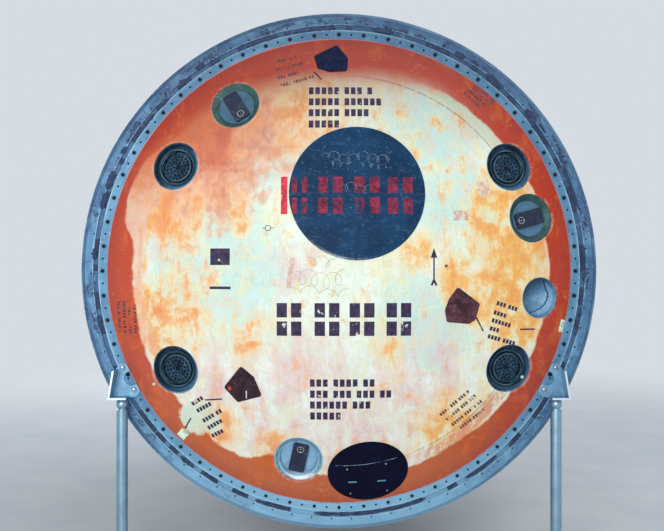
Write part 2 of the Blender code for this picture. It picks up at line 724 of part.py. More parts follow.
def make_pad(number, shares, clock, radius, dome):
    def outline(size):
        return rounded([(x * size, y * size, PAD_CORNER) for x, y in shares], 2)

    name = f"key_pad_{number}"
    pad = prism(name, outline(PAD_SIZE), -PAD_DEPTH, PAD_PROUD, PAD_BROWN)
    grown = outline(PAD_SIZE + 2 * GAP)
    pocket = prism(name + "_pocket", grown, -PAD_DEPTH - GAP, OVERRUN, cutter=True)
    for item in (pad, pocket):
        seat_on_dome(item, clock, radius)
    cut(dome, pocket)


def make_fittings(dome):
    engines = [(clock, share * DOME_EDGE_RADIUS) for clock, share in ENGINE_PLACE_SHARES]
    for number, place in enumerate(engines, 1):
        make_engine(number, *place, dome)
    upper_clock, upper_share = UPPER_BAR_PORT_PLACE_SHARE
    lower_clock, lower_share = LOWER_BAR_PORT_PLACE_SHARE
    side_radius = SIDE_BAR_PORT_PLACE_SHARE * DOME_EDGE_RADIUS
    side_clock = clock_beside(engines[1][0], side_radius, -2 * CUP_RADIUS - SIDE_PORT_CLEARANCE)
    lower_port = (lower_clock, lower_share * DOME_EDGE_RADIUS)
    ports = ((upper_clock, upper_share * DOME_EDGE_RADIUS), (side_clock, side_radius), lower_port)
    for number, place in enumerate(ports, 1):
        make_bar_port(number, *place, dome)
    make_oval_plate(lower_port, dome)
    clock, share = OPEN_PORT_PLACE_SHARE
    make_open_port(clock, share * DOME_EDGE_RADIUS, dome)
    clock, share = ROUND_PLATE_PLACE_SHARE
    make_round_plate(clock, share * DOME_EDGE_RADIUS, dome)
    for number, (clock, share) in enumerate(PAD_PLACE_SHARES, 1):
        make_pad(number, PAD_OUTLINE_SHARES[number - 1], clock, share * DOME_EDGE_RADIUS, dome)


def crown_arc(radius, shrink=0.0):
    """Points along the crown from the flank's seam to the collar."""
    start = math.pi / 2 + CONE_ANGLE + GAP / CROWN_INNER_RADIUS
    end = math.pi - math.asin(COLLAR_SOCKET_RADIUS / radius)
    return arc(radius - shrink, -CROWN_STATION, start, end, CROWN_STEPS)


def make_flank():
    """The flank's end face at the seam is square to its skin, as the crown's is."""
    section = [
        (FLANK_START_RADIUS, -FLANK_START_STATION),
        (SEAM_RADIUS, -SEAM_STATION),
        (SEAM_INNER_RADIUS, -SEAM_INNER_STATION),
        (FLANK_START_RADIUS - FLANK_WALL_RADIAL, -FLANK_START_STATION),
    ]
    return turned("flank_shell", section, CHARRED_SKIN)


def make_crown():
    section = crown_arc(CROWN_RADIUS) + crown_arc(CROWN_INNER_RADIUS)[::-1]
    return turned("crown_shell", section, CHARRED_SKIN)


def rod_across(name, radius, length, steps, x, z):
    """A cylinder along y, at (x, z)."""
    made = add_object(name, cylinders_mesh(name, radius, -length / 2, length / 2, steps))
    made.location = (x, 0.0, z)
    made.rotation_euler = (math.radians(90.0), 0.0, 0.0)
    return made


def make_collar():
    flange_station = NOSE_STATION - COLLAR_FLANGE_THICKNESS
    neck_radius = COLLAR_BORE_RADIUS + COLLAR_NECK_WIDTH
    neck_station = NOSE_STATION - COLLAR_NECK_DEPTH
    collar = turned(
        "hatch_collar",
        [
            (COLLAR_BORE_RADIUS, -COLLAR_INNER_STATION),
            (COLLAR_RADIUS, -COLLAR_INNER_STATION),
            (COLLAR_RADIUS, -flange_station),
            (COLLAR_FLANGE_RADIUS, -flange_station),
            (COLLAR_FLANGE_RADIUS, -NOSE_STATION),
            (neck_radius, -NOSE_STATION),
            (neck_radius, -neck_station),
            (COLLAR_BORE_RADIUS, -neck_station),
        ],
        HATCH_METAL,
    )
    # Two ears hold the hinge's pin. Their outline is (x, z), and they stand across y.
    ear_root = -COLLAR_INNER_STATION - EAR_THICKNESS
    ear = [(HINGE_OFFSET - EAR_RADIUS, ear_root), (HINGE_OFFSET + EAR_RADIUS, ear_root)]
    for x, z in circle_places(2 * HINGE_STEPS, EAR_RADIUS)[: HINGE_STEPS + 1]:
        ear.append((HINGE_OFFSET + x, z - HINGE_STATION))
    inner_face = KNUCKLE_LENGTH / 2 + EAR_CLEARANCE
    outer_face = inner_face + EAR_THICKNESS
    for name, low, high in (("upper", -outer_face, -inner_face), ("lower", inner_face, outer_face)):
        made = prism(f"hinge_ear_{name}", ear, low, high)
        made.rotation_euler = (math.radians(90.0), 0.0, 0.0)
        join(collar, made)
    pin_length = 2 * inner_face + EAR_THICKNESS
    join(collar, rod_across("hinge_pin", PIN_RADIUS, pin_length, HINGE_STEPS, HINGE_OFFSET, -HINGE_STATION))


def hang_on_hinge(item):
    """Makes an item that was placed in the capsule's frame turn with the hatch."""
    item.location = item.location - HINGE.location
    item.parent = HINGE


def make_lid():
    plug_radius = COLLAR_BORE_RADIUS - LID_PLUG_CLEARANCE
    plug_station = LID_OUTER_STATION + LID_PLUG_HEIGHT
    dish_radius = LID_RADIUS - LID_RIM_WIDTH
    lid = turned(
        "hatch_lid",
        [
            (0.0, -plug_station),
            (plug_radius, -plug_station),
            (plug_radius, -LID_OUTER_STATION),
            (LID_RADIUS, -LID_OUTER_STATION),
            (LID_RADIUS, -LID_INNER_STATION),
            (dish_radius, -LID_INNER_STATION),
            (dish_radius - LID_DISH, -LID_DISH_STATION),
            (0.0, -LID_DISH_STATION),
        ],
        HATCH_METAL,
        LID_STEPS,
    )
    arm_reach = KNUCKLE_LENGTH / 2 - EAR_CLEARANCE
    arm_low = (dish_radius, -arm_reach, -HINGE_STATION - KNUCKLE_RADIUS / 2)
    arm_high = (HINGE_OFFSET, arm_reach, -HINGE_STATION + KNUCKLE_RADIUS / 2)
    arm = add_object("lid_arm", box_mesh("lid_arm", arm_low, arm_high))
    place = (HINGE_OFFSET, -HINGE_STATION)
    knuckle = rod_across("lid_knuckle", KNUCKLE_RADIUS, KNUCKLE_LENGTH, HINGE_STEPS, *place)
    bore_length = KNUCKLE_LENGTH + 2 * OVERRUN
    bore = rod_across("lid_bore", PIN_RADIUS + PIN_CLEARANCE, bore_length, HINGE_STEPS, *place)
    for item in (lid, arm, knuckle, bore):
        hang_on_hinge(item)
    join(lid, arm)
    join(lid, knuckle)
    cut(lid, bore)


def make_hatch_wheel():
    wheel_z = WHEEL_STANDOFF - LID_DISH_STATION
    bpy.ops.mesh.primitive_torus_add(
        major_radius=WHEEL_RADIUS, minor_radius=WHEEL_TUBE_RADIUS, major_segments=24, minor_segments=6
    )
    rim = bpy.context.object
    wheel = add_object("hatch_wheel", rim.data, HATCH_METAL)
    bpy.data.objects.remove(rim)
    wheel.location = (0.0, 0.0, wheel_z)
    hub_data = cylinders_mesh(
        "wheel_hub", WHEEL_HUB_RADIUS, GAP - LID_DISH_STATION, wheel_z + WHEEL_TUBE_RADIUS, 12
    )
    pieces = [wheel, add_object("wheel_hub", hub_data)]
    for i in range(WHEEL_SPOKE_COUNT):
        data = cylinders_mesh("wheel_spoke", WHEEL_SPOKE_RADIUS, 0.0, WHEEL_RADIUS, 6)
        spoke = add_object(f"wheel_spoke_{i}", data)
        spoke.location = (0.0, 0.0, wheel_z)
        spoke.rotation_euler = (math.pi / 2, 0.0, 2 * math.pi * i / WHEEL_SPOKE_COUNT + math.pi / 2)
        pieces.append(spoke)
    for item in pieces:
        hang_on_hinge(item)
    for item in pieces[1:]:
        join(wheel, item)


def make_porthole(name, clock, share, bore, flange_width, rim_height, flank):
    """A flanged tube through the wall, with a round glass in it."""
    flange = bore + flange_width
    tube = bore + PORTHOLE_TUBE
    inner_end = -HULL_WALL - PORTHOLE_INNER_PROUD
    frame = turned(
        name + "_frame",
        [
            (bore, rim_height),
            (flange - PORTHOLE_BEVEL, rim_height),
            (flange, rim_height - PORTHOLE_BEVEL),
            (flange, -PORTHOLE_SEAT),
            (tube, -PORTHOLE_SEAT),
            (tube, inner_end),
            (bore, inner_end),
        ],
        HATCH_METAL,
        FITTING_STEPS,
    )
    hole = turned(
        name + "_hole",
        [
            (0.0, rim_height + OVERRUN),
            (flange + GAP, rim_height + OVERRUN),
            (flange + GAP, -PORTHOLE_SEAT - GAP),
            (tube + GAP, -PORTHOLE_SEAT - GAP),
            (tube + GAP, inner_end - OVERRUN),
            (0.0, inner_end - OVERRUN),
        ],
        steps=FITTING_STEPS,
        cutter=True,
    )
    pane = turned(
        name + "_glass",
        [
            (0.0, -GLASS_DROP),
            (bore - GAP, -GLASS_DROP),
            (bore - GAP, -GLASS_DROP - GLASS_THICKNESS),
            (0.0, -GLASS_DROP - GLASS_THICKNESS),
        ],
        PORT_GLASS,
        FITTING_STEPS,
    )
    for item in (frame, hole, pane):
        seat_on_flank(item, clock, share)
    cut(flank, hole)


def make_inset(name, width, height, corner, depth, proud, material, place, flank):
    """A block with round corners in a pocket of the flank."""
    block = prism(name, rounded_box(width, height, corner), -depth, proud, material)
    grown = rounded_box(width, height, corner, GAP)
    pocket = prism(name + "_pocket", grown, -depth - GAP, 2 * OVERRUN, cutter=True)
    for item in (block, pocket):
        seat_on_flank(item, *place)
    cut(flank, pocket)
    return block


def make_thruster(number, clock, flank):
    name = f"thruster_block_{number}"
    place = (clock, THRUSTER_STATION_SHARE)
    size = (THRUSTER_WIDTH, THRUSTER_HEIGHT, THRUSTER_CORNER, THRUSTER_DEPTH, THRUSTER_PROUD)
    block = make_inset(name, *size, ENGINE_METAL, place, flank)
    flare = (NOZZLE_MOUTH_RADIUS - NOZZLE_THROAT_RADIUS) / NOZZLE_DEPTH
    cutter_radius = NOZZLE_MOUTH_RADIUS + flare * OVERRUN
    levels = (THRUSTER_PROUD - NOZZLE_DEPTH, THRUSTER_PROUD + OVERRUN)
    centres = [(side * NOZZLE_SPACING / 2, 0.0) for side in (-1, 1)]
    data = cones_mesh(name, NOZZLE_THROAT_RADIUS, cutter_radius, *levels, NOZZLE_STEPS, centres)
    nozzles = add_object(name + "_nozzles", data, cutter=True)
    seat_on_flank(nozzles, *place)
    cut(block, nozzles)


def make_umbilical(flank):
    place = (UMBILICAL_CLOCK, UMBILICAL_STATION_SHARE)
    size = (UMBILICAL_WIDTH, UMBILICAL_HEIGHT, UMBILICAL_CORNER, UMBILICAL_DEPTH, UMBILICAL_PROUD)
    plate = make_inset("umbilical_plate", *size, PORT_METAL, place, flank)
    centres = [(i * SOCKET_SPACING, 0.0) for i in (-1, 0, 1)]
    top = UMBILICAL_PROUD + SOCKET_HEIGHT
    data = cylinders_mesh("umbilical_sockets", SOCKET_RADIUS, 0.0, top, SOCKET_STEPS, centres)
    sockets = add_object("umbilical_sockets", data)
    seat_on_flank(sockets, *place)
    join(plate, sockets)


def cover_edge_angle():
    """The angle from the nose axis at which the covers start, at a distance from the collar."""
    return math.asin(COLLAR_RADIUS / CROWN_RADIUS) + COVER_COLLAR_DISTANCE / CROWN_RADIUS


def main_cover_height():
    room = math.pi / 2 - CONE_ANGLE - cover_edge_angle() - MAIN_COVER_SEAM_DISTANCE / CROWN_RADIUS
    return 2 * CROWN_RADIUS * math.sin(room / 2)


def make_chute_cover(name, clock, width, height, corner, crown):
    polar = cover_edge_angle() + math.asin(height / 2 / CROWN_RADIUS)
    outline = rounded_box(width, height, corner, steps=4)
    cover, limits = sphere_patch(
        name, outline, COVER_PROUD, -COVER_DEPTH, CROWN_RADIUS, COVER_STEPS, CHARRED_SKIN
    )
    grown = rounded_box(width, height, corner, GAP, steps=4)
    bottom = -COVER_DEPTH - GAP
    pocket, pocket_limits = sphere_patch(
        name + "_pocket", grown, 2 * OVERRUN, bottom, CROWN_RADIUS, COVER_STEPS, cutter=True
    )
    for item in (cover, limits, pocket, pocket_limits):
        seat_on_crown(item, clock, polar)
    cut(crown, pocket)


def flank_inner_radius(station):
    outer = FLANK_START_RADIUS - (station - FLANK_START_STATION) * math.tan(CONE_ANGLE)
    return outer - FLANK_WALL_RADIAL


def make_floor():
    section = [
        (0.0, -FLOOR_STATION),
        (flank_inner_radius(FLOOR_STATION) - GAP, -FLOOR_STATION),
        (flank_inner_radius(FLOOR_BACK) - GAP, -FLOOR_BACK),
        (0.0, -FLOOR_BACK),
    ]
    turned("cabin_floor", section, CABIN_GREEN)


def frame_from(x_axis, y_axis):
    """Euler angles of a frame with these two axes."""
    first, second = Vector(x_axis), Vector(y_axis)
    return Matrix((first, second, first.cross(second))).transposed()


def make_couch(name, place):
    """place is -1, 0 or 1 across the cabin. The side couches fan out from the feet."""
    cabin = flank_inner_radius(FLOOR_BACK)
    length, width = COUCH_LENGTH_SHARE * cabin, COUCH_WIDTH_SHARE * cabin
    shares = COUCH_SIDE_SHARES
    corners = [(x * length, y * COUCH_HEIGHT, fillet * COUCH_CORNER) for x, y, fillet in shares]
    couch = prism(name, rounded(corners, 2), -width / 2, width / 2, COUCH_SHELL)
    fan = Matrix.Rotation(math.radians(-COUCH_FAN * place), 3, "Z")
    couch.rotation_euler = (fan @ frame_from((0.0, 1.0, 0.0), (0.0, 0.0, -1.0))).to_euler()
    across, foot = place * COUCH_SPACING_SHARE * cabin, -COUCH_FOOT_SHARE * cabin
    couch.location = (across, foot, -FLOOR_BACK - GAP)


def make_console():
    """A block with a slanted face, cut off where it meets the hull's inner wall."""
    near = CONSOLE_SEAM_OFFSET - SEAM_STATION
    far = near - CONSOLE_DEPTH
    top = -CONSOLE_TOP_SHARE * CROWN_INNER_RADIUS
    slant = top - CONSOLE_SLANT_SHARE * CROWN_INNER_RADIUS
    low = -FLANK_START_RADIUS
    outline = [(low, far), (slant, far), (top, (near + far) / 2), (slant, near), (low, near)]
    half_width = CONSOLE_WIDTH_SHARE * CROWN_INNER_RADIUS / 2
    console = prism("console", outline, -half_width, half_width, CABIN_GREEN)
    console.rotation_euler = frame_from((0.0, 1.0, 0.0), (0.0, 0.0, 1.0)).to_euler()
    start = (flank_inner_radius(FLOOR_STATION) - GAP, -FLOOR_STATION)
    end = (SEAM_INNER_RADIUS - GAP, -SEAM_INNER_STATION)
    room_arc = crown_arc(CROWN_INNER_RADIUS, GAP)
    section = [(0.0, start[1]), start, end, *room_arc, (0.0, room_arc[-1][1])]
    combine(console, turned("cabin_room", section, cutter=True), "INTERSECT")


def bolt_pair(circle_radius, spacing):
    """Middle of two bolts on a bolt circle, and the direction from the lower to the upper."""
    angle = math.radians(sum(BOLT_CLOCKS) / 2)
    reach = math.sqrt(circle_radius**2 - (spacing / 2) ** 2)
    return (reach * math.cos(angle), reach * math.sin(angle)), (-math.sin(angle), math.cos(angle))


def make_bracket(name, side, face, out, middle, along, spacing):
    """side is 1 or -1 in x, face is the z that it lies on, and out is 1 or -1 along z."""

    def placed(points):
        return [(side * (middle[0] + x), middle[1] + y) for x, y in points]

    def levels(near, far):
        return sorted((face + out * near, face + out * far))

    corners = [tuple(spacing * share for share in row) for row in BRACKET_OUTLINE_SHARES]
    plate = prism(name, placed(rounded(corners, 2)), *levels(GAP, BRACKET_THICKNESS), POLISHED_STEEL)
    # The shelf and the fin are one folded strip, a little outside the plate's own edges
    outer, low = corners[0][0] + GAP, corners[0][1] - GAP
    tip = corners[1]
    inner = BRACKET_SHELF_SHARE * spacing
    fold_x, fold_top = outer - BRACKET_THICKNESS, low + BRACKET_THICKNESS
    fin_top = BRACKET_FIN_SHARE * spacing
    fin_x = outer + (tip[0] - corners[0][0]) * (fin_top - low) / (tip[1] - low)
    fin = [(fin_x, fin_top), (fin_x - BRACKET_THICKNESS, fin_top)]
    strip = [(inner, low), (outer, low), *fin, (fold_x, fold_top), (inner, fold_top)]
    half = BRACKET_THICKNESS / 2
    join(plate, prism(name + "_strip", placed(strip), *levels(half, BRACKET_SHELF_DEPTH)))
    bolts = [(k * spacing / 2 * along[0], k * spacing / 2 * along[1]) for k in (-1, 1)]
    head_levels = levels(half, BRACKET_THICKNESS + BOLT_HEAD_HEIGHT)
    heads = cylinders_mesh(name, BOLT_HEAD_RADIUS, *head_levels, BOLT_HEAD_STEPS, placed(bolts))
    join(plate, add_object(name + "_bolts", heads))
    notch_x, notch_y, notch_radius = (spacing * share for share in BRACKET_NOTCH_SHARES)
    notch_levels = levels(-OVERRUN, OVERRUN)
    notch = cylinders_mesh(name, notch_radius, *notch_levels, NOTCH_STEPS, placed([(notch_x, notch_y)]))
    cut(plate, add_object(name + "_notch", notch, cutter=True))
    return middle[1] + low


def make_post(name, x, y, top):
    """A tube on a round foot, with a ball on its upper end."""
    ball_centre = top - math.sqrt(BALL_RADIUS**2 - BALL_FLAT_RADIUS**2)
    low = math.pi - math.asin(POST_NECK_RADIUS / BALL_RADIUS)
    high = math.asin(BALL_FLAT_RADIUS / BALL_RADIUS)
    ball = arc(BALL_RADIUS, ball_centre, low, high, BALL_STEPS)
    tube_top = ball[0][1] - POST_NECK_LENGTH
    section = [
        (0.0, 0.0),
        (FOOT_RADIUS, 0.0),
        (FOOT_RADIUS, FOOT_THICKNESS - FOOT_BEVEL),
        (FOOT_RADIUS - FOOT_BEVEL, FOOT_THICKNESS),
        (FOOT_SOCKET_RADIUS, FOOT_THICKNESS),
        (FOOT_SOCKET_RADIUS, FOOT_SOCKET_HEIGHT),
        (POST_RADIUS, FOOT_SOCKET_HEIGHT),
        (POST_RADIUS, tube_top),
        (POST_NECK_RADIUS, tube_top),
        *ball,
        (0.0, top),
    ]
    post = turned(name, section, POLISHED_STEEL, POST_STEPS, parent=None)
    post.location = (x, y, 0.0)


def make_stand():
    spacing = 2 * BOLT_CIRCLE_RADIUS * math.sin(math.radians(BOLT_CLOCKS[0] - BOLT_CLOCKS[1]) / 2)
    # name, side, z of the face that the bracket lies on, its direction, bolt circle
    places = (
        ("front_right", 1, 0.0, 1, BOLT_CIRCLE_RADIUS),
        ("front_left", -1, 0.0, 1, BOLT_CIRCLE_RADIUS),
        ("rear_right", 1, -NOSE_STATION, -1, FLANGE_BOLT_RADIUS),
        ("rear_left", -1, -NOSE_STATION, -1, FLANGE_BOLT_RADIUS),
    )
    for name, side, face, out, circle in places:
        middle, along = bolt_pair(circle, spacing)
        shelf_low = make_bracket(f"bracket_{name}", side, face, out, middle, along, spacing)
        post_x = side * (middle[0] + POST_SHIFT_SHARE * spacing)
        post_y = CAPSULE_Y - face - out * POST_OFFSET
        make_post(f"post_{name}", post_x, post_y, AXIS_HEIGHT + shelf_low - GAP)


def main():
    make_base_ring()
    dome = make_base_dome()
    make_fittings(dome)
    flank = make_flank()
    for name, clock in WINDOW_CLOCKS.items():
        sizes = (WINDOW_RADIUS, WINDOW_FLANGE_WIDTH, WINDOW_RIM_HEIGHT)
        make_porthole(name, clock, WINDOW_STATION_SHARE, *sizes, flank)
    sizes = (PERISCOPE_RADIUS, PERISCOPE_FLANGE_WIDTH, PERISCOPE_RIM_HEIGHT)
    make_porthole("periscope", PERISCOPE_CLOCK, PERISCOPE_STATION_SHARE, *sizes, flank)
    for number, clock in enumerate(THRUSTER_CLOCKS, 1):
        make_thruster(number, clock, flank)
    make_umbilical(flank)
    crown = make_crown()
    height = main_cover_height()
    sizes = (MAIN_COVER_WIDTH, height, MAIN_COVER_CORNER_SHARE * height)
    make_chute_cover("main_chute_cover", MAIN_COVER_CLOCK, *sizes, crown)
    sizes = (RESERVE_COVER_WIDTH, RESERVE_COVER_HEIGHT, RESERVE_COVER_CORNER)
    make_chute_cover("reserve_chute_cover", RESERVE_COVER_CLOCK, *sizes, crown)
    make_collar()
    make_lid()
    make_hatch_wheel()
    make_floor()
    for name, place in (("couch_left", -1), ("couch_centre", 0), ("couch_right", 1)):
        make_couch(name, place)
    make_console()
    make_stand()


main()
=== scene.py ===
# %% [markdown]
# # A space capsule on its display stand
#
# The capsule lies on its side and shows its round base. A blue-grey ring holds a shallow
# dome of worn paint, and the landing engines and ports are let into the dome. Behind it come a
# charred flank, a rounded crown and the hatch in the nose. Four polished posts carry it all.
# The solid model fixes every size and place, and this file gives each surface its finish.

# %% Load the solid model
import math
import random
from functools import reduce

import bpy
from mathutils import Euler, Matrix, Vector


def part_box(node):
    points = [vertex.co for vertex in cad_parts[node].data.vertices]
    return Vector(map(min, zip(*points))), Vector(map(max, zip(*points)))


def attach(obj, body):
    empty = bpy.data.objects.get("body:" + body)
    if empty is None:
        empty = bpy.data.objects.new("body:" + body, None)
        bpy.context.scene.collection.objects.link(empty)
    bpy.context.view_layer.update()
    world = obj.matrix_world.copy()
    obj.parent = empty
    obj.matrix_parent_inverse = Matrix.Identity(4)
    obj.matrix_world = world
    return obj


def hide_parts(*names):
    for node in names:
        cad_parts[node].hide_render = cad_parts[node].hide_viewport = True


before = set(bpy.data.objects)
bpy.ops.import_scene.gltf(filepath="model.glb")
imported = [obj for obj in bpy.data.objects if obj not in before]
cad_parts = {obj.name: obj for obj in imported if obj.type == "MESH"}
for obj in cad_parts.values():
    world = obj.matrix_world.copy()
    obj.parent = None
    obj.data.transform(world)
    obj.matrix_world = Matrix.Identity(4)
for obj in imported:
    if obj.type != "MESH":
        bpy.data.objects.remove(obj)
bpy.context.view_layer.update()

ring_low, ring_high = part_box("base_ring")
RING_FACE = ring_low.y
AXIS_HEIGHT = (ring_low.z + ring_high.z) / 2
print("ring face at", round(RING_FACE, 4), "axis at", round(AXIS_HEIGHT, 4))

# %% [markdown]
# ## The capsule's own frame
#
# It is easier to think of the base as a clock face: x to the right, y up and z out towards the
# viewer. One matrix turns that frame into the world, where the base faces -Y. Three functions
# seat a fitting: square on the dome by clock angle in degrees or by x and y, or square on the
# hull behind it.

# %% Frames for pieces on the base, the dome and the hull
BASE = Matrix.Translation((0.0, RING_FACE, AXIS_HEIGHT)) @ Matrix.Rotation(math.pi / 2, 4, "X")
RING_RADIUS = 1.085
DOME_EDGE = 0.967
DOME_RADIUS = 2.200
DOME_CENTRE = -math.sqrt(DOME_RADIUS**2 - DOME_EDGE**2)


def on_dome(clock, radius):
    """z is square to the dome and y points away from the axis."""
    angle = math.radians(clock)
    slope = math.asin(radius / DOME_RADIUS)
    height = DOME_CENTRE + math.sqrt(DOME_RADIUS**2 - radius**2)
    place = Matrix.Translation((radius * math.cos(angle), radius * math.sin(angle), height))
    return BASE @ place @ Euler((-slope, 0.0, angle - math.pi / 2)).to_matrix().to_4x4()


def square_on(x, y, lift=0.0, turn=0.0):
    """z is square to the dome over a place on the base, and x points right before the turn."""
    clock = math.degrees(math.atan2(y, x))
    seat = on_dome(clock, math.hypot(x, y)) @ Matrix.Translation((0.0, 0.0, lift))
    return seat @ Matrix.Rotation(math.radians(turn + 90.0 - clock), 4, "Z")


def on_hull(clock, radius, station, slope):
    """z is square to the hull and y points to the nose."""
    angle = math.radians(clock)
    place = Matrix.Translation((radius * math.cos(angle), radius * math.sin(angle), -station))
    turn = Euler((-math.pi / 2 - slope, 0.0, angle - math.pi / 2))
    return BASE @ place @ turn.to_matrix().to_4x4()


# %% [markdown]
# ## Modelling helpers
#
# Most of a capsule is turned, as on a lathe. So one helper draws a profile, by extruding a
# single vertex from corner to corner, and spins it round the axis. A second makes a flat slab
# from an outline. The rest apply modifiers, drill holes and copy small parts. Every finished
# piece ends at the origin with its place in its mesh, so that its material stays put.

# %% Selecting, placing and applying
MERGE = 0.00002
SMOOTH = math.radians(32.0)
HERE = Matrix.Identity(4)


def only(*pieces):
    bpy.ops.object.select_all(action="DESELECT")
    for piece in pieces:
        piece.select_set(True)
    if pieces:
        bpy.context.view_layer.objects.active = pieces[0]


def settle(piece, place=BASE):
    """Moves a piece to its place and puts that place in its mesh."""
    piece.matrix_world = place @ piece.matrix_world
    only(piece)
    bpy.ops.object.transform_apply(location=True, rotation=True, scale=True)
    return piece


def shaped(piece, kind, **settings):
    """Adds a modifier and applies it."""
    only(piece)
    modifier = piece.modifiers.new(kind.lower(), kind)
    for name, value in settings.items():
        setattr(modifier, name, value)
    bpy.ops.object.modifier_apply(modifier=modifier.name)
    return piece


def bevelled(piece, width, segments=2):
    return shaped(
        piece,
        "BEVEL",
        width=width,
        segments=segments,
        limit_method="ANGLE",
        angle_limit=math.radians(35.0),
        use_clamp_overlap=True,
    )


def combined(piece, tool, operation="DIFFERENCE"):
    shaped(piece, "BOOLEAN", operation=operation, object=tool, solver="EXACT")
    bpy.data.objects.remove(tool)
    return piece


def named(name):
    piece = bpy.context.object
    piece.name = name
    piece.data.name = name
    return piece


# %% Turning a profile
def arc(radius, centre, start, end, steps):
    """(radius, height) points along a circle on the axis, by angle from the axis."""
    angles = [start + (end - start) * i / steps for i in range(steps + 1)]
    return [(radius * math.sin(a), centre + radius * math.cos(a)) for a in angles]


def turned(name, profile, steps, place=BASE, bevel=0.0):
    """A closed profile of (radius, z) points, or one with both ends on the axis, spun about z."""
    only()
    bpy.ops.mesh.primitive_plane_add(size=1.0)
    piece = named(name)
    bpy.ops.object.mode_set(mode="EDIT")
    bpy.ops.mesh.select_mode(type="VERT")
    bpy.ops.mesh.merge(type="CENTER")
    bpy.ops.transform.translate(value=(profile[0][0], 0.0, profile[0][1]))
    on_axis = profile[0][0] == 0.0 and profile[-1][0] == 0.0
    path = profile if on_axis else [*profile, profile[0]]
    for (r, z), (next_r, next_z) in zip(path, path[1:]):
        step = (next_r - r, 0.0, next_z - z)
        bpy.ops.mesh.extrude_region_move(TRANSFORM_OT_translate={"value": step})
    bpy.ops.mesh.select_all(action="SELECT")
    bpy.ops.mesh.spin(steps=steps, angle=2 * math.pi, center=(0, 0, 0), axis=(0, 0, 1))
    bpy.ops.mesh.select_all(action="SELECT")
    bpy.ops.mesh.remove_doubles(threshold=MERGE)
    bpy.ops.mesh.normals_make_consistent(inside=False)
    bpy.ops.object.mode_set(mode="OBJECT")
    if bevel:
        bevelled(piece, bevel)
    return settle(piece, place)


# %% Slabs and rods
def outline_disc(name, outline):
    """A flat face in the shape of an outline, made from a circle with as many corners."""
    only()
    bpy.ops.mesh.primitive_circle_add(vertices=len(outline), radius=1.0, fill_type="NGON")
    piece = named(name)
    for corner, (x, y) in zip(piece.data.vertices, outline):
        corner.co = (x, y, 0.0)
    return piece


def slab(name, outline, bottom, top, place=BASE, bevel=0.0, segments=2):
    """An outline of (x, y) points made thick between two levels."""
    piece = outline_disc(name, outline)
    bpy.ops.object.mode_set(mode="EDIT")
    bpy.ops.mesh.select_all(action="SELECT")
    bpy.ops.transform.translate(value=(0.0, 0.0, bottom))
    rise = {"value": (0.0, 0.0, top - bottom)}
    bpy.ops.mesh.extrude_region_move(TRANSFORM_OT_translate=rise)
    bpy.ops.mesh.select_all(action="SELECT")
    bpy.ops.mesh.normals_make_consistent(inside=False)
    bpy.ops.object.mode_set(mode="OBJECT")
    if bevel:
        bevelled(piece, bevel, segments)
    return settle(piece, place)


def rod(name, radius, bottom, top, sides=16, bevel=0.0):
    only()
    middle = (bottom + top) / 2
    bpy.ops.mesh.primitive_cylinder_add(
        vertices=sides, radius=radius, depth=top - bottom, location=(0.0, 0.0, middle)
    )
    piece = settle(named(name), HERE)
    return bevelled(piece, bevel) if bevel else piece


# %% Copies
def repeated(piece, name, places):
    """Copies of a small shape, one at each matrix, joined in one mesh."""
    twins = []
    for place in places:
        twin = piece.copy()
        twin.data = piece.data.copy()
        bpy.context.collection.objects.link(twin)
        twin.matrix_world = place
        twins.append(twin)
    bpy.data.objects.remove(piece)
    only(*twins)
    if len(twins) > 1:
        bpy.ops.object.join()
    return settle(named(name), HERE)


def joined(name, *pieces):
    only(*pieces)
    bpy.ops.object.join()
    return named(name)


def around(count, radius, place=BASE, first=0.0, height=0.0):
    """Matrices at even steps round a circle, each with x pointing away from its centre."""
    turns = [first + 2 * math.pi * i / count for i in range(count)]
    out = Matrix.Translation((radius, 0.0, height))
    return [place @ Matrix.Rotation(turn, 4, "Z") @ out for turn in turns]


# %% Outlines with rounded corners, and points along an outline
def rounded(corners, steps=4):
    """A closed outline from (x, y, fillet radius) corners."""
    points = []
    for i, (x, y, fillet) in enumerate(corners):
        if not fillet:
            points.append((x, y))
            continue
        here = Vector((x, y))
        back = (Vector(corners[i - 1][:2]) - here).normalized()
        ahead = (Vector(corners[(i + 1) % len(corners)][:2]) - here).normalized()
        half = back.angle(ahead) / 2
        reach = fillet / math.tan(half)
        centre = here + (back + ahead).normalized() * fillet / math.sin(half)
        start, end = here + back * reach - centre, here + ahead * reach - centre
        for k in range(steps + 1):
            spoke = start.lerp(end, k / steps).normalized() * fillet
            points.append(tuple(centre + spoke))
    return points


def rounded_box(width, height, fillet, steps=4):
    x, y = width / 2, height / 2
    return rounded([(-x, -y, fillet), (x, -y, fillet), (x, y, fillet), (-x, y, fillet)], steps)


def spaced(outline, count):
    """Evenly spaced points along a closed outline."""
    sides = list(zip(outline, [*outline[1:], outline[0]]))
    step = sum(math.dist(a, b) for a, b in sides) / count
    points, left = [], 0.0
    for a, b in sides:
        length = math.dist(a, b)
        while left < length:
            share = left / length
            points.append((a[0] + (b[0] - a[0]) * share, a[1] + (b[1] - a[1]) * share))
            left += step
        left -= length
    return points


# %% A refined copy of a solid, and the last step of every piece
def refined(node, name, bevel, segments=2):
    """The solid's loose triangles are merged into flat faces, and its edges are bevelled."""
    piece = bpy.data.objects.new(name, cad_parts[node].data.copy())
    bpy.context.collection.objects.link(piece)
    only(piece)
    bpy.ops.object.mode_set(mode="EDIT")
    bpy.ops.mesh.select_all(action="SELECT")
    bpy.ops.mesh.remove_doubles(threshold=MERGE)
    bpy.ops.mesh.dissolve_limited(angle_limit=math.radians(0.5))
    bpy.ops.object.mode_set(mode="OBJECT")
    return bevelled(piece, bevel, segments)


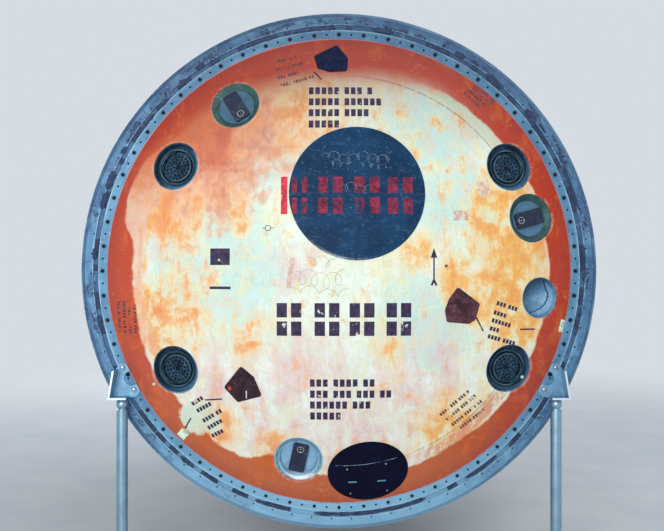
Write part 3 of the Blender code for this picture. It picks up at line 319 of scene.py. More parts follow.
def finished(piece, material, slot, *nodes, body="capsule"):
    """Gives a piece its finish, its body and the solids that it stands for."""
    only(piece)
    bpy.ops.object.shade_smooth_by_angle(angle=SMOOTH)
    shaped(piece, "WEIGHTED_NORMAL", keep_sharp=True)
    piece.data.materials.clear()
    piece.data.materials.append(material)
    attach(piece, body)
    if nodes:
        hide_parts(*nodes)
    print(piece.name, len(piece.data.polygons), "faces")
    return piece


# %% [markdown]
# ## Writing materials as sums
#
# A procedural finish is arithmetic on a point's place: how far it is from the axis, how blotchy
# the paint is there, whether it lies near a rim. `Value` wraps one output socket, so the sums can
# be written as Python sums, and each operator adds a Math node. `Finish` holds one material:
# `ground` lays its first coat of colour, `coat` lays each one over that, and `done` ends it.

# %% Nodes with their settings and sockets
def linked(tree, node, sockets):
    """Gives each socket its value, or a link where the value comes from another node."""
    pairs = sockets.items() if isinstance(sockets, dict) else enumerate(sockets)
    for key, value in pairs:
        value = value.socket if isinstance(value, Value) else value
        if isinstance(value, bpy.types.NodeSocket):
            tree.links.new(value, node.inputs[key])
        elif value is not None:
            node.inputs[key].default_value = value


def new_node(tree, kind, settings=None, sockets=()):
    made = tree.nodes.new(kind)
    for name, value in (settings or {}).items():
        setattr(made, name, value)
    linked(tree, made, sockets)
    return made


# %% Socket arithmetic
class Value:
    """One number on the way through a material."""

    def __init__(self, finish, socket):
        self.finish = finish
        self.socket = socket

    def maths(self, operation, *others):
        made = self.finish.node("ShaderNodeMath", {"operation": operation}, (self, *others))
        return Value(self.finish, made.outputs[0])

    def __add__(self, other):
        return self.maths("ADD", other)

    def __mul__(self, other):
        return self.maths("MULTIPLY", other)

    def __sub__(self, other):
        return self.maths("SUBTRACT", other)

    def __rsub__(self, other):
        return (self * -1.0) + other

    __radd__ = __add__
    __rmul__ = __mul__

    def at_least(self, other):
        return self.maths("MAXIMUM", other)

    def at_most(self, other):
        return self.maths("MINIMUM", other)

    def rise(self, low, high):
        """0 below low, 1 above high, smooth between. With low above high it falls instead."""
        settings = {"interpolation_type": "SMOOTHSTEP"}
        made = self.finish.node("ShaderNodeMapRange", settings, (self, low, high))
        return Value(self.finish, made.outputs[0])

    def within(self, start, full, still, end):
        """0 outside start and end, 1 between full and still, smooth between."""
        return self.rise(start, full) * self.rise(end, still)

    def swing(self, amount):
        """A pattern about a half, turned into one about 0."""
        return (self - 0.5) * amount

    def blend(self, other, share=0.5):
        return self * (1.0 - share) + other * share


# %% One material
def shade(red, green, blue):
    """A colour as it looks on a screen, 0 to 255, in the linear numbers that shaders use."""
    parts = [part / 255 for part in (red, green, blue)]
    return (*[p / 12.92 if p <= 0.04045 else ((p + 0.055) / 1.055) ** 2.4 for p in parts], 1.0)


class Finish:
    """A Principled material that is written step by step."""

    def __init__(self, name, centre=(0.0, RING_FACE, AXIS_HEIGHT)):
        self.material = bpy.data.materials.new(name)
        self.material.use_nodes = True
        self.tree = self.material.node_tree
        self.shader = self.tree.nodes["Principled BSDF"]
        self.colour = None
        place = self.node("ShaderNodeTexCoord").outputs["Object"]
        self.point = self.vector("SUBTRACT", place, centre)
        parts = self.node("ShaderNodeSeparateXYZ", {}, (self.point,)).outputs
        self.x, self.depth, self.y = (Value(self, part) for part in parts)

    def node(self, kind, settings=None, sockets=()):
        return new_node(self.tree, kind, settings, sockets)

    def vector(self, operation, *values):
        return self.node("ShaderNodeVectorMath", {"operation": operation}, values).outputs["Vector"]

    def stretched(self, x=1.0, depth=1.0, y=1.0, shift=0.0):
        """The point with each direction scaled, so that a pattern on it becomes streaks."""
        scaled = self.vector("MULTIPLY", self.point, (x, depth, y))
        return self.vector("ADD", scaled, (shift, shift, shift))

    def noise(self, scale, detail=5.0, roughness=0.55, distortion=0.0, vector=None, shift=0.0):
        vector = vector or self.stretched(shift=shift)
        sockets = {"Vector": vector, "Scale": scale, "Detail": detail}
        sockets.update({"Roughness": roughness, "Distortion": distortion})
        return Value(self, self.node("ShaderNodeTexNoise", {}, sockets).outputs[0])

    def length(self, x, y):
        return (x * x + y * y).maths("SQRT")

    def distance(self, x, y):
        """Distance from a place on the base, seen square on."""
        return self.length(self.x - x, self.y - y)

    def mixed(self, factor, under, over):
        """Two colours mixed by a pattern. A tuple is a screen colour, anything else stays."""
        under, over = (shade(*c) if isinstance(c, tuple) else c for c in (under, over))
        sockets = {0: factor, 6: under, 7: over}
        return self.node("ShaderNodeMix", {"data_type": "RGBA"}, sockets).outputs[2]

    def ground(self, factor, under, over):
        self.colour = self.mixed(factor, under, over)

    def coat(self, factor, over):
        self.colour = self.mixed(factor, self.colour, over)

    def ramp(self, factor, stops):
        """A value that runs through (position, value) stops."""
        made = self.node("ShaderNodeValToRGB", {}, (factor,))
        elements = made.color_ramp.elements
        while len(elements) < len(stops):
            elements.new(0.5)
        for element, (position, value) in zip(elements, stops):
            element.position = position
            element.color = (value, value, value, 1.0)
        return Value(self, made.outputs[0])

    def bump(self, height, strength, distance):
        sockets = {"Strength": strength, "Distance": distance, "Height": height}
        return self.node("ShaderNodeBump", {}, sockets).outputs[0]

    def done(self, roughness, metallic=0.0, normal=None, **more):
        sockets = {"Base Color": self.colour, "Roughness": roughness, "Metallic": metallic}
        linked(self.tree, self.shader, {**sockets, **more, "Normal": normal})
        return self.material


# %% [markdown]
# ## Paint of the dome
#
# The dome was sprayed orange and cream, then burnt and rubbed. Near its edge the orange is
# still whole, with an uneven inner border that drifts inwards at the top. Inside it the
# cream has gone blotchy, with mint where the primer shows and yellow-orange smears that run
# down. So the paint is a stack: ground, smears, haze, edge band, rims of the fittings, grime,
# and painted shade that deepens towards the top.
# Every border is a distance plus some noise, which keeps it from looking like a drawn circle.

# %% Places of the fittings, which the paint and the pieces share
ENGINE_PLACES = ((147.3, 0.825), (31.5, 0.847), (-29.9, 0.829), (-148.9, 0.810))
ENGINE_PLACES = [(clock, share * DOME_EDGE) for clock, share in ENGINE_PLACES]
CUP_RADIUS = 0.101
side_radius = 0.846 * DOME_EDGE
side_turn = 2 * math.asin((2 * CUP_RADIUS + 0.026) / 2 / side_radius)
LOWER_PORT = (-102.2, 0.816 * DOME_EDGE)
PORT_PLACES = [
    (122.0, 0.831 * DOME_EDGE),
    (ENGINE_PLACES[1][0] - math.degrees(side_turn), side_radius),
    LOWER_PORT,
]
OPEN_PORT_PLACE = (-7.6, 0.863 * DOME_EDGE)
OPEN_PORT_RADIUS = 0.0845
ROUND_PLATE_PLACE = (77.2, 0.333 * DOME_EDGE)
ROUND_PLATE_RADIUS = 0.271
OVAL_SIZE = (0.333, 0.282)
oval_slope = math.asin((OVAL_SIZE[1] / 2 + 0.005) / DOME_RADIUS)
oval_radius = DOME_RADIUS * math.sin(math.asin(DOME_EDGE / DOME_RADIUS) - oval_slope)
oval_reach = (CUP_RADIUS + OVAL_SIZE[0] / 2 + 0.020) / 2 / ((oval_radius + LOWER_PORT[1]) / 2)
OVAL_PLACE = (LOWER_PORT[0] + math.degrees(2 * math.asin(oval_reach)), oval_radius)


def flat(clock, radius):
    """The (x, y) of a place on the base."""
    return radius * math.cos(math.radians(clock)), radius * math.sin(math.radians(clock))


# %% Where the paint is warm, cool or lilac, and how far in the edge band reaches
# x, y, reach
WARM = (
    (-0.67, 0.23, 0.17), (-0.43, 0.24, 0.12), (-0.68, -0.20, 0.20), (-0.35, -0.25, 0.15),
    (-0.14, 0.60, 0.20), (0.68, 0.22, 0.24), (0.66, -0.04, 0.24), (0.72, -0.22, 0.14),
    (0.47, -0.02, 0.12), (-0.72, -0.27, 0.10), (-0.50, -0.65, 0.12), (-0.24, -0.75, 0.12),
    (0.45, -0.62, 0.16), (0.28, 0.08, 0.12), (0.20, -0.30, 0.10),
)
COOL = (
    (-0.33, 0.46, 0.17), (-0.44, 0.02, 0.26), (-0.62, 0.00, 0.16), (0.34, -0.20, 0.20),
    (0.36, 0.58, 0.24), (0.44, 0.30, 0.18),
)
LILAC = (
    (0.33, -0.47, 0.24), (-0.20, -0.52, 0.32), (-0.52, -0.46, 0.18), (-0.80, 0.22, 0.16),
    (0.10, -0.70, 0.20), (-0.20, 0.02, 0.10),
)
# clock angle, radius of the border there
BAND_BORDER = (
    (-180, 0.854), (-165, 0.854), (-150, 0.872), (-143, 0.850), (-127, 0.866), (-117, 0.862),
    (-111, 0.806), (-105, 0.790), (-97, 0.837), (-88, 0.850), (-60, 0.854), (-45, 0.866),
    (30, 0.866), (41, 0.850), (62, 0.850), (74, 0.822), (90, 0.792), (102, 0.802), (120, 0.837),
    (140, 0.870), (150, 0.928), (161, 0.932), (168, 0.906), (172, 0.856), (180, 0.854),
)


# %% The paint itself
DULL = {"Specular IOR Level": 0.22}
VERY_DULL = {"Specular IOR Level": 0.12}


def dome_paint():
    f = Finish("worn_dome_paint")
    radius = f.length(f.x, f.y)
    turn = f.y.maths("ARCTAN2", f.x) * (0.5 / math.pi) + 0.5
    broad = f.noise(2.6, 6.0, 0.6, 0.3)
    blotch = f.noise(8.0, 9.0, 0.68, 0.5, shift=3.1)
    dab = f.noise(15.0, 7.0, 0.66, 0.4, shift=6.0)
    streak = f.noise(1.0, 7.0, 0.62, 0.3, f.stretched(17.0, 1.0, 5.0, 7.7))
    fine = f.noise(60.0, 6.0, 0.7, shift=1.3)
    cloth = f.noise(1.0, 3.0, 0.5, 0.0, f.stretched(170.0, 1.0, 30.0))
    weft = f.noise(1.0, 3.0, 0.5, 0.0, f.stretched(30.0, 1.0, 170.0, 4.0))

    def patches(places, edge=0.22):
        """1 in the middle of each place, and fading unevenly past its reach."""
        shaken = ((f.distance(x, y) + blotch.swing(edge) + dab.swing(edge), r) for x, y, r in places)
        return reduce(Value.at_least, (far.rise(r * 1.35, r * 0.35) for far, r in shaken))

    # Cream ground, with mint, straw, peach and lilac in it
    f.ground(blotch.rise(0.38, 0.62), (226, 238, 214), (236, 246, 240))
    f.coat(patches(COOL) * 0.75, (190, 228, 222))
    f.coat(dab.blend(streak, 0.4).rise(0.50, 0.60) * 0.45, (202, 226, 212))
    mottle = f.noise(11.0, 6.0, 0.62, 0.5, shift=12.0)
    f.coat(mottle.blend(streak, 0.3).rise(0.50, 0.60) * 0.55, (240, 232, 184))
    f.coat(mottle.blend(dab, 0.3).rise(0.49, 0.41) * 0.45, (240, 210, 182))
    f.coat(patches(LILAC, 0.34) * streak.blend(dab).rise(0.38, 0.58) * 0.75, (226, 192, 198))
    # Smears: yellow first, then orange where they are thick
    warm = patches(WARM)
    edge = radius.rise(0.30, 0.90)
    field = blotch * 0.38 + dab * 0.37 + streak * 0.25 + warm * 0.090 + edge * 0.032
    right = f.x.rise(-0.20, 0.50)
    f.coat(field.rise(0.515, 0.610) * 0.66, f.mixed(right, (244, 210, 150), (246, 214, 138)))
    f.coat(field.rise(0.580, 0.645) * 0.78, f.mixed(right, (243, 162, 86), (246, 174, 80)))
    f.coat(field.rise(0.635, 0.705) * 0.50, (236, 122, 54))
    # Amber runs along the right side
    amber = f.x.rise(0.52, 0.78) * f.y.within(-0.36, -0.16, 0.26, 0.46)
    f.coat(amber * streak.blend(dab, 0.4).rise(0.40, 0.58) * 0.60, (240, 176, 70))
    pinkish = (streak * 0.5 + dab * 0.5 + edge * 0.04).rise(0.56, 0.64)
    f.coat(pinkish * 0.40, (234, 154, 122))
    # Haze of sprayed orange, deepest at the upper left, and a dull brown along the top that is partly
    # dirt and partly painted shade
    upper_left = f.distance(-0.60, 0.66) + broad.swing(0.5) + dab.swing(0.30) + streak.swing(0.25)
    haze = upper_left.rise(0.51, 0.18)
    f.coat(haze.rise(0.0, 0.45) * 0.72, f.mixed(mottle.rise(0.40, 0.60), (238, 158, 112), (226, 132, 88)))
    f.coat(haze.rise(0.35, 1.0) * 0.80, f.mixed(dab.rise(0.40, 0.62), (196, 84, 58), (216, 112, 74)))
    rim_haze = radius + broad.swing(0.30) + blotch.swing(0.20)
    f.coat(rim_haze.rise(0.74, 0.92) * f.y.rise(-0.5, 0.6) * 0.60, (214, 122, 72))
    top = (f.y + blotch.swing(0.3) + broad.swing(0.2)).rise(0.60, 0.80)
    f.coat(top * f.x.rise(0.45, 0.10) * 0.55, (196, 160, 118))
    # Strip of bare primer between the band and a masked circle, upper and lower right
    shaky = radius + dab.swing(0.020)
    strip = shaky.within(0.806, 0.816, 0.850, 0.862)
    strip_up = strip * turn.within(0.600, 0.625, 0.660, 0.680)
    strip_low = strip * turn.within(0.295, 0.330, 0.395, 0.420)
    f.coat(strip_up * 0.80, (206, 220, 190))
    f.coat(strip_low * streak.blend(fine).rise(0.38, 0.52) * 0.85, (222, 150, 122))
    # Peach strip inside the band at the left, with a yellow line along it
    beside_left = f.x.rise(-0.52, -0.68) * f.y.within(-0.42, -0.26, 0.20, 0.36)
    peach = shaky.rise(0.800, 0.812) * beside_left * (streak.rise(0.40, 0.60) * 0.35 + 0.35)
    f.coat(peach, (238, 176, 140))
    yellow = shaky.within(0.788, 0.794, 0.802, 0.808) * beside_left * dab.rise(0.38, 0.56)
    f.coat(yellow * 0.60, (238, 184, 92))
    # The masked circle's thin dark line, upper and lower right
    circle = (radius + broad.swing(0.006)).within(0.797, 0.801, 0.803, 0.807)
    circle = circle * turn.within(0.28, 0.33, 0.72, 0.76)
    circle = circle * (1.0 - turn.within(0.42, 0.45, 0.57, 0.60))
    f.coat(circle * fine.rise(0.38, 0.52) * 0.55, (126, 96, 84))
    # The whole band at the edge, with its border drawn by clock angle
    border = f.ramp(turn, [((clock + 180.0) / 360.0, reach) for clock, reach in BAND_BORDER])
    past = radius - border + broad.swing(0.030) + dab.swing(0.030)
    upper = f.y.rise(0.30, 0.70) * f.x.rise(0.60, 0.25)
    crisp, soft = past.rise(-0.006, 0.007), past.rise(-0.050, 0.060)
    band = crisp * (1.0 - upper) + soft * upper
    torn = (f.distance(-0.575, -0.603) + blotch.swing(0.10) + dab.swing(0.10)).rise(0.088, 0.070)
    band = band * (1.0 - torn)
    f.coat(torn * 0.70, (206, 222, 200))
    deep = f.mixed(f.y.rise(-0.20, -0.75), (198, 60, 28), (192, 88, 40))
    deep = f.mixed(f.x.rise(0.30, 0.85) * 0.90, deep, (178, 34, 8))
    deep = f.mixed(f.x.rise(-0.60, -0.90) * 0.60, deep, (184, 68, 48))
    deep = f.mixed(upper * 0.60, deep, (180, 60, 46))
    deep = f.mixed((radius + dab.swing(0.04)).rise(0.905, 0.965) * 0.35, deep, (142, 34, 22))
    deep = f.mixed(blotch.blend(streak).rise(0.50, 0.62) * 0.45, deep, (222, 112, 46))
    deep = f.mixed(dab.blend(fine).rise(0.56, 0.64) * 0.35, deep, (224, 138, 100))
    f.coat(band * 0.95, deep)
    # A pale line beside the band at the right
    beside = past.within(-0.014, -0.007, -0.003, 0.004) * turn.within(0.450, 0.470, 0.565, 0.585)
    f.coat(beside * fine.rise(0.36, 0.50) * 0.60, (240, 206, 164))
    # Thin pale rims round the fittings, worn in places
    spots = [(*flat(*place), CUP_RADIUS) for place in (*ENGINE_PLACES, *PORT_PLACES)]
    spots.append((*flat(*ROUND_PLATE_PLACE), ROUND_PLATE_RADIUS))
    spots.append((*flat(*OPEN_PORT_PLACE), OPEN_PORT_RADIUS))
    rims = (f.distance(x, y).rise(size + 0.007, size + 0.002) for x, y, size in spots)
    rims = reduce(Value.at_least, rims)
    f.coat(rims * blotch.blend(fine).rise(0.44, 0.58) * 0.32, (206, 216, 204))
    # Painted shade that deepens towards the top, then grime: fine specks, and the weave of the cloth
    # below
    f.coat(f.y.rise(0.30, 1.00) * 0.42, (92, 54, 58))
    f.coat(f.noise(130.0, 3.0, 0.6, shift=9.0).rise(0.70, 0.76) * 0.55, (112, 84, 72))
    f.coat(fine.blend(blotch).rise(0.58, 0.70) * 0.30, (150, 118, 92))
    weave = cloth.rise(0.48, 0.72).at_least(weft.rise(0.52, 0.76))
    f.coat(weave * 0.13, (120, 96, 80))
    rough = 0.48 + fine * 0.20 + band * 0.05
    height = fine * 0.4 + blotch * 0.6 + dab * 0.3 + weave * 0.3 + band * 0.25
    return f.done(rough, 0.0, f.bump(height, 0.30, 0.004), **DULL)


DOME_PAINT = dome_paint()

# %% [markdown]
# ## Metals
#
# The ring is dull blue-grey alloy with purple stains, brighter where it was scraped or rubbed,
# with painted highlights on its edges, painted light along the bottom and painted shade at the
# top. The engines are almost black, with paler lips and worn edges, and painted light and shade
# on opposite sides. The posts are polished tube with smudges and very fine turning marks, and
# the front pair is tinted bluer than the rear pair as a painted cast of the light on it.

# %% Ring
HOLES = 60
HOLE_CIRCLE = 0.990


def ring_metal():
    f = Finish("ring_alloy")
    radius = f.length(f.x, f.y)
    turn = f.y.maths("ARCTAN2", f.x)
    wrapped = f.node("ShaderNodeCombineXYZ", {}, (f.x, f.y, radius * 7.0)).outputs[0]
    broad = f.noise(3.0, 6.0, 0.6)
    stain = f.noise(9.0, 8.0, 0.68, 0.8, shift=2.0)
    worn = f.noise(5.0, 8.0, 0.66, 0.5, wrapped)
    fine = f.noise(85.0, 5.0, 0.68)
    flange = radius.rise(1.010, 1.006)
    lip = radius.within(1.0030, 1.0050, 1.0085, 1.0095)
    f.ground(stain.rise(0.38, 0.62), (84, 130, 164), (54, 94, 134))
    f.coat(broad.rise(0.48, 0.64) * 0.45, (80, 96, 146))
    f.coat(worn.rise(0.50, 0.62) * 0.50, (120, 172, 202))
    f.coat(flange * 0.50, (104, 160, 190))
    f.coat(flange * stain.blend(worn).rise(0.50, 0.42) * 0.55, (58, 98, 136))
    f.coat(lip * worn.blend(fine).rise(0.40, 0.54) * 0.60, (172, 212, 226))
    groove = radius.within(1.0085, 1.0100, 1.0280, 1.0295)
    f.coat(groove * 0.65, (40, 72, 112))
    # Old sealant smeared over the outer band, more of it in the upper half
    outer = radius.within(1.026, 1.032, 1.056, 1.066)
    tar = (worn * 0.55 + stain * 0.45 + f.y.rise(-0.5, 0.6) * 0.045).rise(0.575, 0.595)
    f.coat(tar * outer * 0.85, (22, 34, 76))
    f.coat(stain.blend(fine).rise(0.55, 0.64) * 0.45, (150, 192, 214))
    f.coat(fine.blend(stain, 0.3).rise(0.40, 0.33) * 0.45, (44, 62, 92))
    # Bare metal and painted highlights along the groove's outer edge and the outermost rim
    bright = radius.within(1.0285, 1.0300, 1.0315, 1.0335) + radius.rise(1.0800, 1.0835)
    f.coat(bright * worn.blend(fine).rise(0.42, 0.56) * 0.65, (164, 204, 222))
    # Painted shade on the step and the sloping rim
    step = radius.within(1.0615, 1.0640, 1.0670, 1.0700)
    f.coat(step * 0.60, (40, 54, 84))
    # Dark rings of grease round the big holes
    share = (turn * (HOLES / (2 * math.pi)) + (HOLES + 0.5)).maths("FRACT") - 0.5
    to_hole = f.length(share * (2 * math.pi * HOLE_CIRCLE / HOLES), radius - HOLE_CIRCLE)
    f.coat(to_hole.rise(0.0125, 0.0080) * 0.75, (26, 46, 66))
    # Painted light along the bottom, and painted shade that deepens towards the top
    painted_light_below = (f.y + stain.swing(0.5)).rise(-0.55, -1.05)
    f.coat(painted_light_below * 0.55, (150, 204, 232))
    painted_top_shade = (f.y + stain.swing(0.4)).rise(0.20, 1.00)
    f.coat(painted_top_shade * 0.42, (28, 50, 78))
    # Overspray of the dome's orange along the inner edge
    spray = radius + fine.swing(0.012) + stain.swing(0.016)
    f.coat(spray.rise(0.9735, 0.9690) * 0.85, (182, 84, 66))
    height = stain * 0.5 + fine * 0.5 + tar * outer * 0.4
    return f.done(0.42 + stain * 0.25, 0.30, f.bump(height, 0.35, 0.002))


# %% Plain stained metal
def stained_metal(name, dark, light, edge, rough, metallic, scale=14.0, painted_top_shade=None):
    """A bare metal with stains, scratches and fine grain, and perhaps painted shade that deepens towards
    the top of the base.
    """
    f = Finish(name)
    stain = f.noise(scale, 8.0, 0.64, 0.7)
    fine = f.noise(110.0, 4.0, 0.6, shift=4.0)
    scratch = f.noise(1.0, 5.0, 0.7, 0.2, f.stretched(18.0, 18.0, 240.0, 2.2))
    f.ground(stain.rise(0.36, 0.64), dark, light)
    f.coat(stain.blend(fine).rise(0.58, 0.66) * 0.7, edge)
    f.coat(scratch.rise(0.62, 0.72) * 0.35, edge)
    # Painted shade that deepens towards the top of the base
    if painted_top_shade:
        f.coat((f.y + stain.swing(0.3)).rise(-0.20, 0.60) * 0.60, painted_top_shade)
    height = stain * 0.4 + fine * 0.4 + scratch * 0.3
    return f.done(rough + stain * 0.22, metallic, f.bump(height, 0.25, 0.002))


# %% Stand
# Depths between which the stand's finish turns from the rear pair's to the front pair's
FRONT_TO_REAR = (1.2, 0.6)


def polished_steel():
    f = Finish("polished_tube")
    turning = f.noise(1.0, 4.0, 0.6, 0.0, f.stretched(3.0, 3.0, 420.0))
    smudge = f.noise(16.0, 5.0, 0.6, 0.5)
    # The front pair is tinted bluer than the rear pair, a painted blue cast of the light that falls on it
    front = f.depth.rise(*FRONT_TO_REAR)
    light = f.mixed(front, (168, 182, 192), (156, 190, 210))
    f.ground(smudge.rise(0.4, 0.7) * 0.6, light, f.mixed(front, (136, 154, 168), (122, 158, 182)))
    rough = 0.26 + smudge * 0.14 + turning * 0.06
    return f.done(rough, 0.90, f.bump(turning, 0.10, 0.0006))


def bracket_metal():
    """Dull folded sheet like the ring's, with its cut edges that face forwards or back near white, as
    bare metal and a painted highlight.
    """
    f = Finish("bracket_sheet")
    stain = f.noise(18.0, 8.0, 0.66, 0.6)
    fine = f.noise(110.0, 4.0, 0.6, shift=4.0)
    # The front pair shares the ring's blue-grey as a painted blue cast of the light on it, and the rear
    # pair is plainer
    front = f.depth.rise(*FRONT_TO_REAR)
    light = f.mixed(front, (148, 168, 180), (134, 182, 210))
    dark = f.mixed(front, (122, 144, 160), (106, 152, 182))
    f.ground(stain.rise(0.38, 0.62), light, dark)
    f.coat(stain.blend(fine).rise(0.54, 0.64) * 0.5, (166, 204, 222))
    # Cut edges that face forwards or back: bare metal with a painted highlight
    edge = f.depth.rise(-0.070, -0.0735).at_least(f.depth.rise(2.031, 2.0345))
    f.coat(edge, (226, 234, 238))
    rough = 0.36 + stain * 0.18 - edge * 0.14
    return f.done(rough, 0.45, f.bump(stain * 0.4 + fine * 0.4, 0.2, 0.001))


# %% Engines, and the lower port's wall
def cup_metal():
    """Dark engine alloy with a paler lip and disc, soot in the two grooves, and painted light and shade
    on opposite sides.
    """
    f = Finish("engine_cup_alloy")
    stain = f.noise(26.0, 8.0, 0.66, 0.6)
    fine = f.noise(120.0, 4.0, 0.6, shift=4.0)
    # How far out of its nearest engine a point is, and how far to that engine's lower right, where light
    # is painted
    centres = [flat(*place) for place in ENGINE_PLACES]
    out = reduce(Value.at_most, (f.distance(x, y) for x, y in centres))
    inside = (f.distance(x, y).rise(0.130, 0.120) for x, y in centres)
    leans = (((f.x - x) * 0.7 - (f.y - y) * 0.7) * near for near, (x, y) in zip(inside, centres))
    lean = reduce(Value.__add__, leans)
    f.ground(stain.rise(0.38, 0.62), (16, 34, 54), (30, 54, 76))
    disc = out.rise(0.0600, 0.0570)
    lip = out.rise(0.0915, 0.0945)
    step = out.within(0.0690, 0.0705, 0.0785, 0.0800)
    f.coat(disc * stain.blend(fine, 0.4).rise(0.36, 0.60) * 0.75, (58, 94, 116))
    f.coat(step * 0.30, (70, 106, 124))
    threads = ((0.0685, 0.0700, 0.0712, 0.0722), (0.0585, 0.0595, 0.0604, 0.0612))
    for thread in threads:
        f.coat(out.within(*thread) * 0.65, (126, 160, 164))
    # Painted light on each engine's lower right and painted shade on its upper left, over the outer wall
    # and the lip
    bright = lean.rise(-0.030, 0.070) * 0.75 + 0.15
    f.coat(out.rise(0.0805, 0.0830) * bright * (1.0 - lip), (76, 118, 154))
    f.coat(lip * stain.blend(fine, 0.3).rise(0.36, 0.56) * bright, (120, 164, 188))
    f.coat(stain.blend(fine).rise(0.56, 0.66) * 0.5, (122, 158, 172))
    return f.done(0.36 + stain * 0.22, 0.35, f.bump(stain.blend(fine), 0.3, 0.002), **DULL)


def pale_wall():
    """The lower port's wall: pale, with a painted highlight low down, painted shade where it meets the
    floor, and dark spots all round its edge.
    """
    x, y = flat(*LOWER_PORT)
    f = Finish("pale_port_wall")
    out = f.distance(x, y)
    stain = f.noise(20.0, 8.0, 0.66, 0.6)
    fine = f.noise(110.0, 4.0, 0.6, shift=4.0)
    f.ground(stain.rise(0.38, 0.62), (122, 166, 192), (158, 200, 218))
    # Painted highlight along the low side of the wall
    low = (f.y - y + stain.swing(0.03)).rise(-0.050, -0.085)
    f.coat(low * 0.85, (228, 242, 246))
    spots = out.within(0.0860, 0.0885, 0.0925, 0.0950) * fine.blend(stain, 0.7).rise(0.46, 0.54)
    f.coat(spots * 0.75, (40, 84, 116))
    # Painted shade in the corner where the wall meets the floor
    f.coat(out.rise(0.0790, 0.0775) * 0.55, (58, 102, 134))
    return f.done(0.42 + stain * 0.2, 0.20, f.bump(stain * 0.4 + fine * 0.4, 0.25, 0.002))


# %% Every metal in use
ENGINE_CUP = cup_metal()
RING_METAL = ring_metal()
ENGINE_METAL = stained_metal(
    "engine_alloy", (26, 40, 60), (46, 68, 88), (104, 138, 156), 0.34, 0.60
)
CUP_WALL = stained_metal(
    "port_wall", (38, 72, 74), (60, 100, 96), (128, 164, 164), 0.46, 0.25
)
# The port floors carry painted shade towards the top of the base
PORT_FLOOR = stained_metal(
    "port_floor", (82, 124, 158), (106, 150, 184), (160, 196, 216), 0.48, 0.25,
    painted_top_shade=(48, 78, 92),
)
HATCH_METAL = stained_metal(
    "hatch_alloy", (134, 136, 138), (164, 166, 166), (202, 202, 198), 0.34, 0.75
)
BOLT_METAL = stained_metal(
    "bolt_steel", (150, 158, 164), (178, 186, 190), (214, 218, 220), 0.26, 0.95, 40.0
)
POLISHED_STEEL = polished_steel()
BRACKET_METAL = bracket_metal()
# A lighter copy of the port floor for the lower port, as painted light from below
PAINTED_LIT_FLOOR = stained_metal(
    "painted_lit_port_floor", (120, 166, 200), (146, 192, 220), (190, 220, 234), 0.48, 0.20
)
PALE_WALL = pale_wall()
DARK_HOLE = stained_metal("hole_shadow", (10, 18, 32), (16, 26, 40), (26, 38, 52), 0.8, 0.1)


# %% Dark plates, pads and gasket
def plate_dark():
    """Slate blue, scratched in long thin arcs and rubbed paler in patches."""
    f = Finish("slate_plate")
    stain = f.noise(7.0, 8.0, 0.64, 0.8)
    fine = f.noise(60.0, 5.0, 0.65, shift=4.0)
    warped = f.noise(1.0, 6.0, 0.6, 2.4, f.stretched(9.0, 9.0, 30.0, 5.0))
    thin = warped.within(0.495, 0.502, 0.504, 0.511)
    f.ground(stain.rise(0.36, 0.66), (12, 46, 78), (20, 64, 100))
    f.coat(fine.blend(stain).rise(0.56, 0.66) * 0.4, (72, 92, 116))
    f.coat(thin * fine.rise(0.44, 0.60) * 0.45, (170, 184, 196))
    # Paler along the lower left of its edge
    x, y = flat(*ROUND_PLATE_PLACE)
    lower_left_rim = f.distance(x, y).rise(ROUND_PLATE_RADIUS - 0.012, ROUND_PLATE_RADIUS - 0.004)
    lower_left_rim = lower_left_rim * (f.y - f.x).rise(0.30, -0.05) * (x - f.x).rise(-0.10, 0.12)
    f.coat(lower_left_rim * fine.rise(0.36, 0.52) * 0.75, (196, 208, 210))
    height = stain * 0.4 + fine * 0.3 - thin * 0.4
    return f.done(0.44 + stain * 0.25, 0.0, f.bump(height, 0.3, 0.002), **VERY_DULL)


def oval_dark():
    f = Finish("oval_plate_paint")
    stain = f.noise(9.0, 8.0, 0.64, 0.8)
    fine = f.noise(80.0, 5.0, 0.65, shift=4.0)
    f.ground(stain.rise(0.40, 0.66), (3, 4, 30), (8, 10, 44))
    f.coat(fine.blend(stain).rise(0.60, 0.68) * 0.4, (70, 58, 74))
    return f.done(0.46 + stain * 0.2, 0.0, f.bump(stain + fine * 0.5, 0.3, 0.002), **VERY_DULL)


def pad_skin(name, dark, light, speck):
    """Rough ablative block: mottled and pitted."""
    f = Finish(name)
    mottle = f.noise(34.0, 8.0, 0.7, 0.4)
    pits = f.noise(130.0, 4.0, 0.65, shift=3.0)
    f.ground(mottle.rise(0.38, 0.62), dark, light)
    f.coat(mottle.blend(pits).rise(0.56, 0.66) * 0.8, speck)
    return f.done(0.70 + pits * 0.2, 0.0, f.bump(mottle + pits * 0.6, 0.7, 0.003), **DULL)


PLATE_DARK = plate_dark()
TAB_RED = pad_skin("tab_red", (176, 36, 40), (206, 58, 52), (232, 140, 130))
CHALK_WHITE = pad_skin("chalk_white", (196, 206, 214), (222, 228, 232), (150, 150, 160))
OVAL_DARK = oval_dark()
BAR_DARK = stained_metal("bar_paint", (28, 36, 60), (42, 52, 78), (96, 106, 128), 0.36, 0.2, 22.0)
PAD_SKINS = (
    pad_skin("pad_blue_black", (4, 14, 44), (14, 28, 62), (48, 60, 94)),
    pad_skin("pad_brown", (56, 32, 42), (98, 62, 70), (142, 102, 104)),
    pad_skin("pad_maroon", (40, 24, 36), (64, 42, 52), (112, 84, 90)),
)
GASKET = stained_metal("gasket_rest", (28, 42, 74), (44, 62, 98), (96, 120, 152), 0.66, 0.0, 30.0)


# %% [markdown]
# ## Base ring
#
# The ring is one turned profile: a flat inner flange for the bolts, a groove that once held a
# gasket, an outer band, and a sloped rim. Each circle of holes is drilled with one Boolean.
# What is left of the gasket is a thin ring that is cut in uneven lengths and nudged at random,
# because it tore when the base was taken off.

